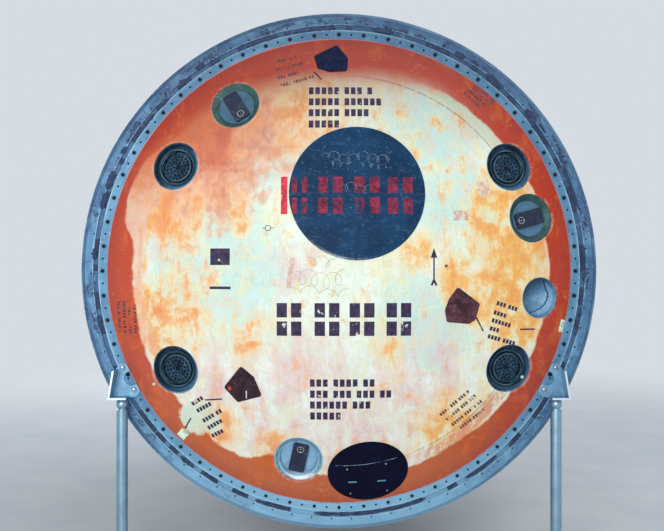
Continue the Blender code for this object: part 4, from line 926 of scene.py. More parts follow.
# %% Ring with its holes, and a dark disc of painted shade deep in each
GAP = 0.0003
DOME_WALL = 0.040
DOME_FOOT = DOME_CENTRE + math.sqrt((DOME_RADIUS - DOME_WALL) ** 2 - DOME_EDGE**2)
# radius, height
RING_PROFILE = [
    (DOME_EDGE + GAP, 0.0), (1.009, 0.0), (1.009, -0.006), (1.029, -0.006), (1.029, 0.0),
    (1.066, 0.0), (1.066, -0.008), (RING_RADIUS, -0.024), (RING_RADIUS, -0.070),
    (DOME_EDGE - 0.032, -0.070), (DOME_EDGE - 0.032, DOME_FOOT - GAP),
    (DOME_EDGE + GAP, DOME_FOOT - GAP),
]
ring = turned("ring_body", RING_PROFILE, 240, bevel=0.0012)
HOLE_DEPTH = 0.014
notches = [around(1, 0.984, first=math.radians(clock))[0] for clock in (-26.1, 206.1)]
# places, radius, radius of the painted shade disc, sides: three circles, and one in each bracket's notch
DRILLS = (
    (around(HOLES, HOLE_CIRCLE), 0.0070, 0.0066, 10),
    (around(HOLES, HOLE_CIRCLE, first=math.pi / HOLES), 0.0046, 0.0042, 8),
    (around(78, 1.0375, first=0.01), 0.0036, 0.0032, 8),
    (notches, 0.0095, 0.0092, 16),
)
plugs = []
for places, size, shade_size, sides in DRILLS:
    combined(ring, repeated(rod("drill", size, -HOLE_DEPTH, 0.02, sides), "drills", places))
    plug = rod("plug", shade_size, 0.0002 - HOLE_DEPTH, -0.0040, sides)
    plugs.append(repeated(plug, "plugs", places))
finished(ring, RING_METAL, "ring_metal", "base_ring")
finished(joined("ring_hole_shade", *plugs), DARK_HOLE, "ring_metal")

# %% Torn gasket in the groove
rng = random.Random(11)
gasket_profile = [(1.0112, -0.0058), (1.0272, -0.0058), (1.0266, -0.0026), (1.0118, -0.0026)]
gasket = turned("ring_gasket", gasket_profile, 720)
kept, turn = [], 0.0
while turn < 360.0:
    length = rng.choice((1.5, 2.5, 4.0, 6.0))
    kept.append((turn, turn + length))
    turn += length + rng.uniform(2.0, 9.0)
only(gasket)
for face in gasket.data.polygons:
    place = BASE.inverted() @ face.center
    angle = math.degrees(math.atan2(place.y, place.x)) % 360.0
    face.select = not any(start <= angle <= end for start, end in kept)
for element in (*gasket.data.vertices, *gasket.data.edges):
    element.select = False
bpy.ops.object.mode_set(mode="EDIT")
bpy.ops.mesh.select_mode(type="FACE")
bpy.ops.mesh.delete(type="FACE")
bpy.ops.mesh.select_all(action="SELECT")
bpy.ops.mesh.fill_holes(sides=4)
bpy.ops.mesh.select_all(action="SELECT")
bpy.ops.transform.vertex_random(offset=0.0014, seed=4)
bpy.ops.mesh.normals_make_consistent(inside=False)
bpy.ops.object.mode_set(mode="OBJECT")
finished(gasket, GASKET, "ring_metal")

# %% Broad torn strips that still lie across the groove
# clock angle, circle, reach in degrees, half width
STRIPS = (
    (158.3, 1.030, 2.3, 0.014), (163.4, 1.028, 2.0, 0.011), (150.7, 1.034, 1.0, 0.009),
    (143.0, 1.014, 3.4, 0.008), (136.5, 1.015, 1.8, 0.008), (129.7, 1.026, 1.1, 0.010),
    (124.2, 1.036, 1.2, 0.011), (108.4, 1.016, 3.9, 0.009), (96.0, 1.017, 5.2, 0.008),
    (79.8, 1.024, 2.6, 0.010), (60.7, 1.036, 1.4, 0.011), (57.0, 1.040, 0.7, 0.007),
    (50.6, 1.029, 2.6, 0.010), (39.0, 1.032, 1.9, 0.014), (35.0, 1.040, 1.3, 0.005),
    (20.0, 1.034, 5.6, 0.006), (2.0, 1.026, 4.4, 0.008), (-12.0, 1.024, 3.4, 0.008),
    (-44.0, 1.022, 1.9, 0.008), (-54.0, 1.016, 4.6, 0.007), (-75.5, 1.018, 6.4, 0.008),
    (-90.5, 1.018, 5.6, 0.007), (-106.0, 1.020, 4.2, 0.007), (-121.0, 1.020, 1.2, 0.008),
    (-128.5, 1.022, 2.1, 0.009), (-137.0, 1.020, 1.6, 0.009), (-168.0, 1.024, 1.7, 0.011),
    (176.0, 1.026, 1.4, 0.009),
)
strips = []
for clock, circle, reach, half_width in STRIPS:
    sides = []
    for side in (-1, 1):
        row = []
        for i in range(15):
            along = i / 14 * 2 - 1
            narrow = half_width * (1 - along**4) ** 0.5 * rng.uniform(0.62, 1.10) + 0.0008
            angle, out = math.radians(clock + along * reach), circle + side * narrow
            row.append((out * math.cos(angle), out * math.sin(angle)))
        sides.append(row)
    strips.append(slab("strip", [*sides[1], *sides[0][::-1]], 0.0003, 0.0016, BASE, 0.0004))
finished(joined("ring_gasket_strips", *strips), GASKET, "ring_metal")

# %% [markdown]
# ## Dome
#
# The dome is a shell between two spheres. Its fittings sit in real holes, so each hole is cut
# square to the surface with the same outline as the fitting plus a hair of clearance.

# %% Discs that follow the dome
def bent(piece, sphere=DOME_RADIUS):
    """Lowers each point as far as the sphere falls away below the middle."""
    for corner in piece.data.vertices:
        across = corner.co.x**2 + corner.co.y**2
        corner.co.z += math.sqrt(sphere**2 - across) - sphere
    return piece


def curved_disc(name, width, height, bottom, top, rings=10, steps=128, bevel=0.0, sphere=DOME_RADIUS):
    """A round or oval plate, bent to a sphere."""
    upper = [(i / rings, top) for i in range(rings + 1)]
    lower = [(radius, bottom) for radius, _ in reversed(upper)]
    piece = turned(name, upper + lower, steps, HERE)
    for corner in piece.data.vertices:
        corner.co.x *= width / 2
        corner.co.y *= height / 2
    if bevel:
        bevelled(piece, bevel)
    return bent(piece, sphere)


# %% Dome shell with its holes and pockets
PLATE_DEPTH, PLATE_PROUD = 0.012, 0.003
PAD_DEPTH, PAD_PROUD = 0.010, 0.002
PAD_PLACES = ((92.2, 0.910 * DOME_EDGE), (-15.5, 0.528 * DOME_EDGE), (-130.5, 0.617 * DOME_EDGE))
PAD_SIZE = 0.075
# x and y of each corner, as shares of that size
PAD_OUTLINES = (
    ((-0.93, 0.22), (0.37, 0.91), (0.94, -0.03), (0.85, -0.86), (-0.09, -0.89), (-0.74, -0.62)),
    ((-0.88, -0.52), (-0.33, 0.95), (0.57, 0.92), (0.86, 0.65), (1.07, -0.59), (0.48, -0.88),
     (-0.14, -0.83)),
    ((0.71, -0.71), (-0.20, -0.72), (-1.19, -0.18), (-0.43, 1.01), (0.67, 0.87)),
)


def pad_outline(number, size=PAD_SIZE):
    return rounded([(x * size, y * size, 0.010) for x, y in PAD_OUTLINES[number]])


edge_angle = math.asin(DOME_EDGE / DOME_RADIUS)
inner_angle = math.asin(DOME_EDGE / (DOME_RADIUS - DOME_WALL))
outer = arc(DOME_RADIUS, DOME_CENTRE, 0.0, edge_angle, 30)
inner = arc(DOME_RADIUS - DOME_WALL, DOME_CENTRE, inner_angle, 0.0, 8)
outer[0], inner[-1] = (0.0, outer[0][1]), (0.0, inner[-1][1])
dome = turned("dome_shell", outer + inner, 192)
cups = [(place, CUP_RADIUS) for place in (*ENGINE_PLACES, *PORT_PLACES)]
for place, radius in (*cups, (OPEN_PORT_PLACE, OPEN_PORT_RADIUS)):
    combined(dome, settle(rod("hole", radius + GAP, -0.2, 0.1, 96), on_dome(*place)))
ROUND_SIZE = (2 * ROUND_PLATE_RADIUS, 2 * ROUND_PLATE_RADIUS)
for place, (width, height) in ((ROUND_PLATE_PLACE, ROUND_SIZE), (OVAL_PLACE, OVAL_SIZE)):
    pocket = curved_disc("pocket", width + 2 * GAP, height + 2 * GAP, -PLATE_DEPTH - GAP, 0.02)
    combined(dome, settle(pocket, on_dome(*place)))
for number, place in enumerate(PAD_PLACES):
    outline = pad_outline(number, PAD_SIZE + 2 * GAP)
    combined(dome, slab("pocket", outline, -PAD_DEPTH - GAP, 0.02, on_dome(*place)))
finished(dome, DOME_PAINT, "dome_paint", "base_dome")

# %% [markdown]
# ## Landing engines
#
# Each engine is a stepped cup. A raised lip runs round a disc that stands in a groove, and the
# disc is full of nozzle holes round a central one. It is modelled once, drilled, and copied.

# %% One engine, and its copies
# radius, height
ENGINE_PROFILE = [
    (0.0, -0.0360), (0.0100, -0.0360), (0.0112, -0.0232), (0.0350, -0.0225), (0.0560, -0.0236),
    (0.0610, -0.0262), (0.0610, -0.0380), (0.0690, -0.0380), (0.0710, -0.0186), (0.0790, -0.0180),
    (0.0802, -0.0260), (0.0930, -0.0260), (0.0958, -0.0040), (0.1010, -0.0040), (0.1010, -0.0750),
    (0.0, -0.0750),
]
engine = turned("engine", ENGINE_PROFILE, 96, HERE, bevel=0.0009)
# Each nozzle hole gets a dark disc deep inside, as painted shade
pits = []
for count, circle in ((7, 0.0190), (12, 0.0330), (18, 0.0475)):
    places = around(count, circle, HERE, 0.2)
    combined(engine, repeated(rod("bit", 0.0053, -0.034, 0.0, 10), "bits", places))
    pits.append(repeated(rod("plug", 0.0050, -0.0339, -0.0262, 10), "plugs", places))
pits.append(rod("plug", 0.0095, -0.0358, -0.0310, 16))
pits = joined("pits", *pits)
screw = rod("screw", 0.0028, -0.027, -0.0235, 8, 0.0006)
engine = joined("engine", engine, repeated(screw, "screws", around(6, 0.0868, HERE, 0.3)))
for number, place in enumerate(ENGINE_PLACES, 1):
    piece = repeated(engine.copy(), f"engine_cup_{number}", [on_dome(*place)])
    finished(piece, ENGINE_CUP, "engine_metal", f"landing_engine_{number}")
    finished(repeated(pits.copy(), f"engine_nozzle_shade_{number}", [on_dome(*place)]), DARK_HOLE, "engine_metal")
bpy.data.objects.remove(engine)
bpy.data.objects.remove(pits)

# %% [markdown]
# ## Ports with a bar
#
# A port is a shallow cup with a conical wall and a flat pale floor. A dark bar with round
# corners lies across the floor, and a ring-shaped bolt holds the end nearer the axis. The
# lower port is paler than the other two, and its floor is a lighter copy as painted light.
# The upper floors carry painted shade that deepens towards the top.

# %% Cups, bars and bolts
# radius, height
PORT_PROFILE = [(0.0, -0.0200), (0.0750, -0.0200), (0.0750, -0.0500), (0.0, -0.0500)]
WALL_PROFILE = [
    (0.0753, -0.0222), (0.0768, -0.0206), (0.0800, -0.0188), (0.0955, -0.0046), (0.1010, -0.0040),
    (0.1010, -0.0500), (0.0753, -0.0500),
]
BAR_SIZE = (0.066, 0.132, 0.010)
BAR_TOP = -0.0080
# name, profile, steps, material: the three turned parts of a bar's bolt; the well is a dark disc of
# painted shade inside the bolt's ring
BOLT_PARTS = (
    ("port_bolt", [(0.0107, -0.0006), (0.0107, 0.0024), (0.0115, 0.0030), (0.0140, 0.0030),
                   (0.0150, 0.0020), (0.0150, -0.0006)], 40, BOLT_METAL),
    ("port_bolt_well", [(0.0, -0.0004), (0.0, 0.0009), (0.0104, 0.0009), (0.0104, -0.0004)], 32,
     DARK_HOLE),
    ("port_stud", [(0.0, 0.0006), (0.0, 0.0026), (0.0022, 0.0024), (0.0032, 0.0016),
                   (0.0034, 0.0006)], 24, BOLT_METAL),
)
PORT_FINISHES = ((PORT_FLOOR, CUP_WALL), (PORT_FLOOR, CUP_WALL), (PAINTED_LIT_FLOOR, PALE_WALL))
for number, (place, (floor_finish, wall_finish)) in enumerate(zip(PORT_PLACES, PORT_FINISHES), 1):
    seat = on_dome(*place)
    cup = turned(f"port_cup_{number}", PORT_PROFILE, 96, seat, bevel=0.0008)
    finished(cup, floor_finish, "port_metal", f"bar_port_{number}")
    wall = turned(f"port_wall_{number}", WALL_PROFILE, 96, seat, bevel=0.0006)
    finished(wall, wall_finish, "port_metal")
    bar = rounded_box(*BAR_SIZE, 6)
    bar = slab(f"port_bar_body_{number}", bar, -0.0197, BAR_TOP, seat, bevel=0.0016)
    finished(bar, BAR_DARK, "plate_dark", f"port_bar_{number}")
    bolt_seat = seat @ Matrix.Translation((0.0, -0.043, BAR_TOP))
    for name, profile, steps, material in BOLT_PARTS:
        part = turned(f"{name}_{number}", profile, steps, bolt_seat)
        finished(part, material, "hatch_metal")

# %% [markdown]
# ## Open port, plates and pads
#
# The open port is a bare bowl whose liner has torn near the outer side. The two dark plates are
# bent to the dome. The pads are small blocks of ablative stone-like stuff with rounded corners.

# %% Metal of the open port
def bowl_metal():
    """Pale blue spun metal, with fine lines round the bowl."""
    x, y = flat(*OPEN_PORT_PLACE)
    f = Finish("bowl_metal")
    out = f.distance(x, y)
    stain = f.noise(16.0, 8.0, 0.66, 0.8)
    fine = f.noise(90.0, 5.0, 0.66, shift=2.0)
    rays = f.noise(1.0, 5.0, 0.66, 0.8, f.stretched(70.0, 8.0, 22.0))
    f.ground(stain.rise(0.38, 0.62), (104, 152, 190), (140, 184, 212))
    f.coat(rays.rise(0.54, 0.66) * 0.45, (190, 216, 228))
    f.coat(rays.rise(0.44, 0.34) * 0.45, (68, 104, 142))
    # Painted shade at its upper left, where the light doesn't reach, and a painted highlight at its lower
    # right
    shadow = (f.y - y) * 0.80 - (f.x - x) * 0.60 + stain.swing(0.04)
    f.coat(shadow.rise(-0.01, 0.06) * 0.80, (34, 70, 102))
    f.coat(shadow.rise(-0.015, -0.045) * out.rise(0.070, 0.050) * 0.45, (150, 196, 220))
    # Painted shade deepening towards the bowl's rim
    f.coat(out.rise(0.058, 0.078) * 0.45, (44, 78, 112))
    return f.done(0.40 + stain * 0.22, 0.20, f.bump(rays.blend(fine, 0.4), 0.35, 0.002))


# %% Open port with its torn liner
BOWL_METAL = bowl_metal()
BOWL_RADIUS, BOWL_DEPTH, BOWL_FLOOR = 0.0795, 0.058, -0.064
angles = (0.0, 0.2, 0.4, 0.6, 0.8, 1.0, 1.2, 1.4, math.pi / 2)
bowl = [(BOWL_RADIUS * math.sin(a), BOWL_FLOOR + BOWL_DEPTH * (1 - math.cos(a))) for a in angles]
bowl += [(0.0805, -0.0045), (OPEN_PORT_RADIUS, -0.004), (OPEN_PORT_RADIUS, -0.070), (0.0, -0.070)]
open_seat = on_dome(*OPEN_PORT_PLACE)
open_cup = turned("open_port_bowl", bowl, 96, open_seat, bevel=0.0006)
finished(open_cup, BOWL_METAL, "port_metal", "open_port")
# x, y along the torn edge
TEAR = [
    (-0.069, 0.020), (-0.058, 0.024), (-0.046, 0.032), (-0.036, 0.037), (-0.026, 0.048),
    (-0.016, 0.047), (-0.010, 0.053), (-0.003, 0.043), (0.004, 0.049), (0.012, 0.041),
    (0.022, 0.040), (0.034, 0.029), (0.044, 0.020), (0.050, 0.006), (0.058, -0.006),
    (0.066, -0.026),
]
flap = [(0.0768 * math.sin(a / 10), 0.0768 * math.cos(a / 10)) for a in range(19, -13, -1)]
liner = slab("open_port_liner", [*TEAR, *flap], -0.0180, -0.0150, open_seat, 0.0006)
finished(liner, BOWL_METAL, "port_metal")
# Dark strips along the torn edge, as painted shade in the crack
cracks = []
for a, b in zip(TEAR, TEAR[1:]):
    middle = Matrix.Translation(((a[0] + b[0]) / 2, (a[1] + b[1]) / 2, -0.0165))
    turn = Matrix.Rotation(math.atan2(b[1] - a[1], b[0] - a[0]), 4, "Z")
    size = Matrix.Diagonal((math.dist(a, b) + 0.0016, 0.0024, 0.0042, 1.0))
    cracks.append(open_seat @ middle @ turn @ size)
only()
bpy.ops.mesh.primitive_cube_add(size=1.0)
seam = repeated(bevelled(named("seam"), 0.12, 2), "open_port_crack", cracks)
finished(seam, DARK_HOLE, "port_metal")

# %% Round plate, oval plate and pads
# name, place, width and height, rings, steps, material
PLATES = (
    ("round_plate", ROUND_PLATE_PLACE, ROUND_SIZE, 14, 160, PLATE_DARK),
    ("oval_plate", OVAL_PLACE, OVAL_SIZE, 10, 128, OVAL_DARK),
)
for node, place, size, rings, steps, material in PLATES:
    plate = curved_disc(f"{node}_skin", *size, -PLATE_DEPTH, PLATE_PROUD, rings, steps, 0.0014)
    finished(settle(plate, on_dome(*place)), material, "plate_dark", node)
screw = rod("screw", 0.0044, -0.001, 0.0018, 12, 0.0009)
places = ((0.033, -0.812), (0.191, -0.789), (0.047, -0.924), (0.200, -0.912))
places = [square_on(x, y, PLATE_PROUD) for x, y in places]
finished(repeated(screw, "oval_plate_screws", places), BOLT_METAL, "hatch_metal")
slot_bar = slab("slot", rounded_box(0.036, 0.006, 0.0028), -0.0008, 0.0012, HERE, 0.0005)
places = ((0.055, -0.871, 2.0), (0.175, -0.866, 4.0))
places = [square_on(x, y, PLATE_PROUD, turn) for x, y, turn in places]
finished(repeated(slot_bar, "oval_plate_slots", places), BRACKET_METAL, "hatch_metal")
for number, place in enumerate(PAD_PLACES):
    name, outline = f"pad_block_{number + 1}", pad_outline(number)
    pad = slab(name, outline, -PAD_DEPTH, PAD_PROUD, on_dome(*place), 0.0012, 3)
    finished(pad, PAD_SKINS[number], "pad_brown", f"key_pad_{number + 1}")

# %% A red tab and a chalk line on the third pad
# name, width, height and corner, thickness, x, y, turn, bevel, material
STICKERS = (
    ("pad_tab", (0.013, 0.017, 0.004), 0.0010, -0.441, -0.472, 12.0, 0.0008, TAB_RED),
    ("pad_line", (0.0045, 0.040, 0.002), 0.0008, -0.374, -0.500, -2.0, 0.0005, CHALK_WHITE),
)
for name, size, thick, x, y, turn, bevel, material in STICKERS:
    seat = square_on(x, y, PAD_PROUD, turn)
    finished(slab(name, rounded_box(*size), -0.002, thick, seat, bevel), material, "pad_brown")

# %% [markdown]
# ## Painted marks
#
# The base carries painted marks: quartered squares, rows of small blocks, an arrow, pointer
# lines and loose scribbles. Each is a thin patch of paint that follows the dome, so its edges
# stay sharp, and its finish lets the ground show through where it has worn.

# %% Patches of paint
LIFT = 0.0004


def patch(x, y, width, height, turn=0.0):
    """A matrix that makes a unit square into a painted rectangle at a place on the base."""
    size = Matrix.Diagonal((width, height, 1.0, 1.0))
    return Matrix.Translation((x, y, 0.0)) @ Matrix.Rotation(math.radians(turn), 4, "Z") @ size


def line(start, end, width):
    (x0, y0), (x1, y1) = start, end
    turn = math.degrees(math.atan2(y1 - y0, x1 - x0))
    return patch((x0 + x1) / 2, (y0 + y1) / 2, math.hypot(x1 - x0, y1 - y0), width, turn)


def trace(points, width):
    """A line from each point to the next."""
    return [line(start, end, width) for start, end in zip(points, points[1:])]


def quartered(x, y, width, height, split):
    """Four blocks with a cross of bare paint between them."""
    w, h = (width - split) / 2, (height - split) / 2
    sides = [(i * (w + split) / 2, j * (h + split) / 2) for i in (-1, 1) for j in (-1, 1)]
    return [patch(x + dx, y + dy, w, h) for dx, dy in sides]


def block_row(start, end, height, rng):
    """A row of small plain blocks in groups, between two points."""
    (x0, y0), (x1, y1) = start, end
    length, turn = math.hypot(x1 - x0, y1 - y0), math.atan2(y1 - y0, x1 - x0)
    width, gap = height * 0.62, height * 0.24
    places, along, left = [], 0.0, rng.randint(3, 6)
    while along + width < length:
        x, y = x0 + (along + width / 2) * math.cos(turn), y0 + (along + width / 2) * math.sin(turn)
        places.append(patch(x, y, width, height, math.degrees(turn)))
        left -= 1
        along += width + (gap if left else gap * 3.2)
        left = left or rng.randint(3, 6)
    return places


def painted(name, places, material, slot, sphere=DOME_RADIUS, cuts=2):
    """Unit squares at their places, bent to the sphere and given a little thickness."""
    only()
    bpy.ops.mesh.primitive_grid_add(x_subdivisions=cuts, y_subdivisions=cuts, size=1.0)
    piece = repeated(named("square"), name, places)
    for corner in piece.data.vertices:
        across = corner.co.x**2 + corner.co.y**2
        corner.co.z = DOME_CENTRE + math.sqrt((sphere + LIFT) ** 2 - across)
    shaped(piece, "SOLIDIFY", thickness=0.0003, offset=0.0)
    return finished(settle(piece), material, slot)


# %% Stencil paint
def stencil_paint(name, colour, worn_from, worn_to, scale=26.0, cover=1.0):
    """Thin paint that is worn through where its noise rises from one value to the other."""
    f = Finish(name)
    wear = f.noise(scale, 7.0, 0.68, 0.4, shift=8.0)
    tone = f.noise(60.0, 4.0, 0.6)
    dark = shade(*colour)
    light = [min(1.0, part * 1.9 + 0.01) for part in dark[:3]] + [1.0]
    f.ground(tone.rise(0.35, 0.65), colour, light)
    return f.done(0.6, Alpha=wear.rise(worn_to, worn_from) * cover, **DULL)


STENCIL = stencil_paint("stencil_paint", (46, 36, 62), 0.56, 0.66)
FAINT_STENCIL = stencil_paint("faint_stencil_paint", (92, 62, 66), 0.44, 0.60)
PLATE_RED = stencil_paint("plate_red_paint", (130, 38, 62), 0.42, 0.64, 9.0, 0.76)
RED_EDGE = stencil_paint("red_edge_paint", (178, 46, 62), 0.52, 0.66)
PALE_PAINT = stencil_paint("pale_patch_paint", (170, 192, 172), 0.56, 0.70)

# %% Bold marks: squares, bars, an arrow and pointers
rng = random.Random(23)
bold = []
for x in (-0.199, -0.049, 0.089, 0.235):
    bold += quartered(x, -0.190, 0.098, 0.130, 0.016)
bold += [patch(-0.476, 0.058, 0.080, 0.066), patch(-0.476, -0.066, 0.086, 0.011)]
# The arrow: shaft, head in steps, and two feathers
ARROW = 0.375
bold += [line((ARROW, -0.040), (ARROW, 0.060), 0.006)]
bold += [patch(ARROW, 0.088 - 0.004 * i, 0.003 + 0.0028 * i, 0.0042) for i in range(9)]
for side in (-1, 1):
    bold += [line((ARROW, -0.034), (ARROW + side * 0.010, -0.056), 0.008)]
# start, end
pointers = (
    ((0.549, -0.184), (0.580, -0.241)), ((0.740, -0.238), (0.806, -0.239)),
    ((-0.640, -0.653), (-0.612, -0.607)), ((-0.548, -0.526), (-0.476, -0.519)),
    ((-0.103, 0.819), (-0.072, 0.785)),
)
bold += [line(start, end, 0.006) for start, end in pointers]
painted("bold_marks", bold, STENCIL, "plate_dark", cuts=4)

# %% Rows of small blocks
upper_ends = ((0.146, 0.735), (0.207, 0.687), (0.157, 0.640), (0.035, 0.592))
lower_ends = ((0.150, -0.445), (0.219, -0.491), (0.139, -0.536), (0.043, -0.582))
rows = [((-0.123, y), (x, y), 0.030) for x, y in upper_ends]
rows += [((-0.117, y), (x, y), 0.030) for x, y in lower_ends]
# start, end
small_rows = (
    ((-0.604, -0.546), (-0.547, -0.509)), ((-0.584, -0.575), (-0.506, -0.529)),
    ((-0.560, -0.617), (-0.478, -0.566)), ((-0.540, -0.647), (-0.462, -0.599)),
    ((-0.525, -0.681), (-0.472, -0.652)), ((0.637, -0.128), (0.733, -0.159)),
    ((0.625, -0.165), (0.686, -0.186)), ((0.617, -0.197), (0.717, -0.228)),
    ((0.609, -0.230), (0.652, -0.243)), ((0.601, -0.262), (0.724, -0.298)),
)
rows += [(start, end, 0.017) for start, end in small_rows]
places = []
for start, end, height in rows:
    places += block_row(start, end, height, rng)
painted("block_rows", places, STENCIL, "plate_dark")
faint_rows = [
    ((0.410, -0.585), (0.532, -0.483)), ((0.436, -0.607), (0.562, -0.501)),
    ((0.462, -0.630), (0.585, -0.528)), ((0.496, -0.644), (0.604, -0.563)),
    ((-0.266, 0.868), (-0.171, 0.893)), ((-0.261, 0.831), (-0.141, 0.860)),
    ((-0.252, 0.795), (-0.161, 0.820)), ((-0.242, 0.759), (-0.095, 0.801)),
]
faint_rows += [((-0.918 + 0.024 * i, -0.125), (-0.914 + 0.024 * i, -0.262)) for i in range(4)]
shifts = [(0.020 * i, 0.012 * i) for i in range(4)]
faint_rows += [((0.520 + dx, 0.742 + dy), (0.592 + dx, 0.672 + dy)) for dx, dy in shifts]
places = []
for start, end in faint_rows:
    places += block_row(start, end, 0.014, rng)
painted("faint_rows", places, FAINT_STENCIL, "plate_dark")

# %% Red blocks on the round plate, and one beside it
reds = []
for x, width in ((-0.158, 0.060), (-0.036, 0.098), (0.109, 0.102), (0.242, 0.098)):
    reds += quartered(x, 0.301, width, 0.146, 0.020)
ON_PLATE = DOME_RADIUS + PLATE_PROUD
painted("plate_red_blocks", reds, PLATE_RED, "plate_dark", ON_PLATE, 4)
painted("red_edge_block", [patch(-0.219, 0.301, 0.026, 0.150)], RED_EDGE, "dome_paint", cuts=4)


# %% Scribbles and a small ring
def scribble(x0, y0, width, height, loops, steps):
    """A looping stroke of short straight pieces, like handwriting that can't be read."""
    turns = [2 * math.pi * loops * i / steps for i in range(steps + 1)]
    xs = [x0 + width * i / steps + height * 0.8 * math.sin(turn) for i, turn in enumerate(turns)]
    ys = [y0 + height * math.cos(turn) + 0.008 * math.sin(turn * 0.31) for turn in turns]
    return trace(list(zip(xs, ys)), 0.0012)


# x, y, width, height, loops, steps
PLATE_SCRIBBLES = (
    (-0.060, 0.455, 0.270, 0.016, 7.0, 90), (-0.040, 0.425, 0.090, 0.012, 3.0, 40),
    (0.080, 0.420, 0.120, 0.012, 4.0, 50), (0.010, 0.330, 0.110, 0.016, 3.0, 40),
)
DOME_SCRIBBLES = (
    (-0.170, -0.030, 0.190, 0.030, 4.0, 72), (-0.190, -0.078, 0.220, 0.014, 3.0, 48),
    (-0.120, 0.034, 0.100, 0.020, 2.0, 40),
)
turns = [math.pi * i / 5 for i in range(11)]
circle = [(-0.283 + 0.011 * math.cos(a), 0.171 + 0.011 * math.sin(a)) for a in turns]
small_ring = trace(circle, 0.003)
small_ring += [line((-0.304, 0.171), (-0.292, 0.171), 0.003)]
small_ring += [line((-0.274, 0.171), (-0.258, 0.173), 0.003)]
small_ring += [line((0.419, 0.021), (0.430, 0.022), 0.010)]
painted("small_ring_mark", small_ring, FAINT_STENCIL, "plate_dark", cuts=1)
CHALK = stencil_paint("chalk", (128, 148, 168), 0.44, 0.60, 60.0, 0.8)
strokes = [stroke for row in PLATE_SCRIBBLES for stroke in scribble(*row)]
painted("plate_scribbles", strokes, CHALK, "plate_dark", ON_PLATE, 1)
PENCIL = stencil_paint("pencil", (138, 140, 128), 0.50, 0.66, 40.0, 0.75)
strokes = [stroke for row in DOME_SCRIBBLES for stroke in scribble(*row)]
painted("dome_scribbles", strokes, PENCIL, "dome_paint", cuts=1)

# %% Pale and pink patches
# x, y, width, height, turn
PALE_PATCHES = (
    (-0.651, -0.680, 0.040, 0.038, 46.0), (0.934, -0.230, 0.026, 0.052, -14.0),
    (-0.768, -0.469, 0.014, 0.010, 30.0), (0.757, -0.438, 0.012, 0.012, 20.0),
)
PINK_PATCHES = (
    (-0.193, -0.005, 0.020, 0.120, -8.0), (0.487, 0.224, 0.062, 0.040, 0.0),
    (0.585, 0.335, 0.050, 0.060, 12.0),
)
PINK_PAINT = stencil_paint("pink_patch_paint", (228, 186, 174), 0.58, 0.76, 14.0, 0.42)
painted("pale_patches", [patch(*row) for row in PALE_PATCHES], PALE_PAINT, "dome_paint", cuts=4)
painted("pink_patches", [patch(*row) for row in PINK_PATCHES], PINK_PAINT, "dome_paint", cuts=4)

# %% Pale crease across the oval plate
CREASE = (
    (-0.014, -0.797), (0.030, -0.797), (0.070, -0.795), (0.108, -0.792), (0.150, -0.785),
    (0.195, -0.775), (0.238, -0.764),
)
painted("oval_plate_crease", trace(CREASE, 0.0019), CHALK, "plate_dark", ON_PLATE, 1)

# %% [markdown]
# ## Hull
#
# Behind the base comes a cone, then part of a sphere that carries on the cone's slope. Both are
# turned shells, cut for windows, thrusters and covers. The skin is charred ablative material,
# laid in hoops, with flow marks that run from the base to the nose.

# %% Sizes of the hull, the same as the solid's
HULL_WALL = 0.060
CONE = math.radians(7.0)
FLANK_START = (1.068, 0.0703)
FLANK_LENGTH = 1.019
SEAM = (FLANK_START[0] - FLANK_LENGTH * math.tan(CONE), FLANK_START[1] + FLANK_LENGTH)
CROWN_RADIUS = SEAM[0] / math.cos(CONE)
CROWN_STATION = SEAM[1] - CROWN_RADIUS * math.sin(CONE)
CROWN_INNER = CROWN_RADIUS - HULL_WALL
SEAM_INNER = (CROWN_INNER * math.cos(CONE), CROWN_STATION + CROWN_INNER * math.sin(CONE))
COLLAR_BORE, COLLAR_RADIUS, FLANGE_RADIUS = 0.300, 0.400, 0.460
COLLAR_INNER = CROWN_STATION + math.sqrt(CROWN_RADIUS**2 - COLLAR_RADIUS**2) - 0.044
NOSE = COLLAR_INNER + 0.170


def on_flank(clock, share):
    along = share * FLANK_LENGTH
    radius = FLANK_START[0] - along * math.tan(CONE)
    return on_hull(clock, radius, FLANK_START[1] + along, CONE)


def on_crown(clock, polar):
    station = CROWN_STATION + CROWN_RADIUS * math.cos(polar)
    return on_hull(clock, CROWN_RADIUS * math.sin(polar), station, math.pi / 2 - polar)


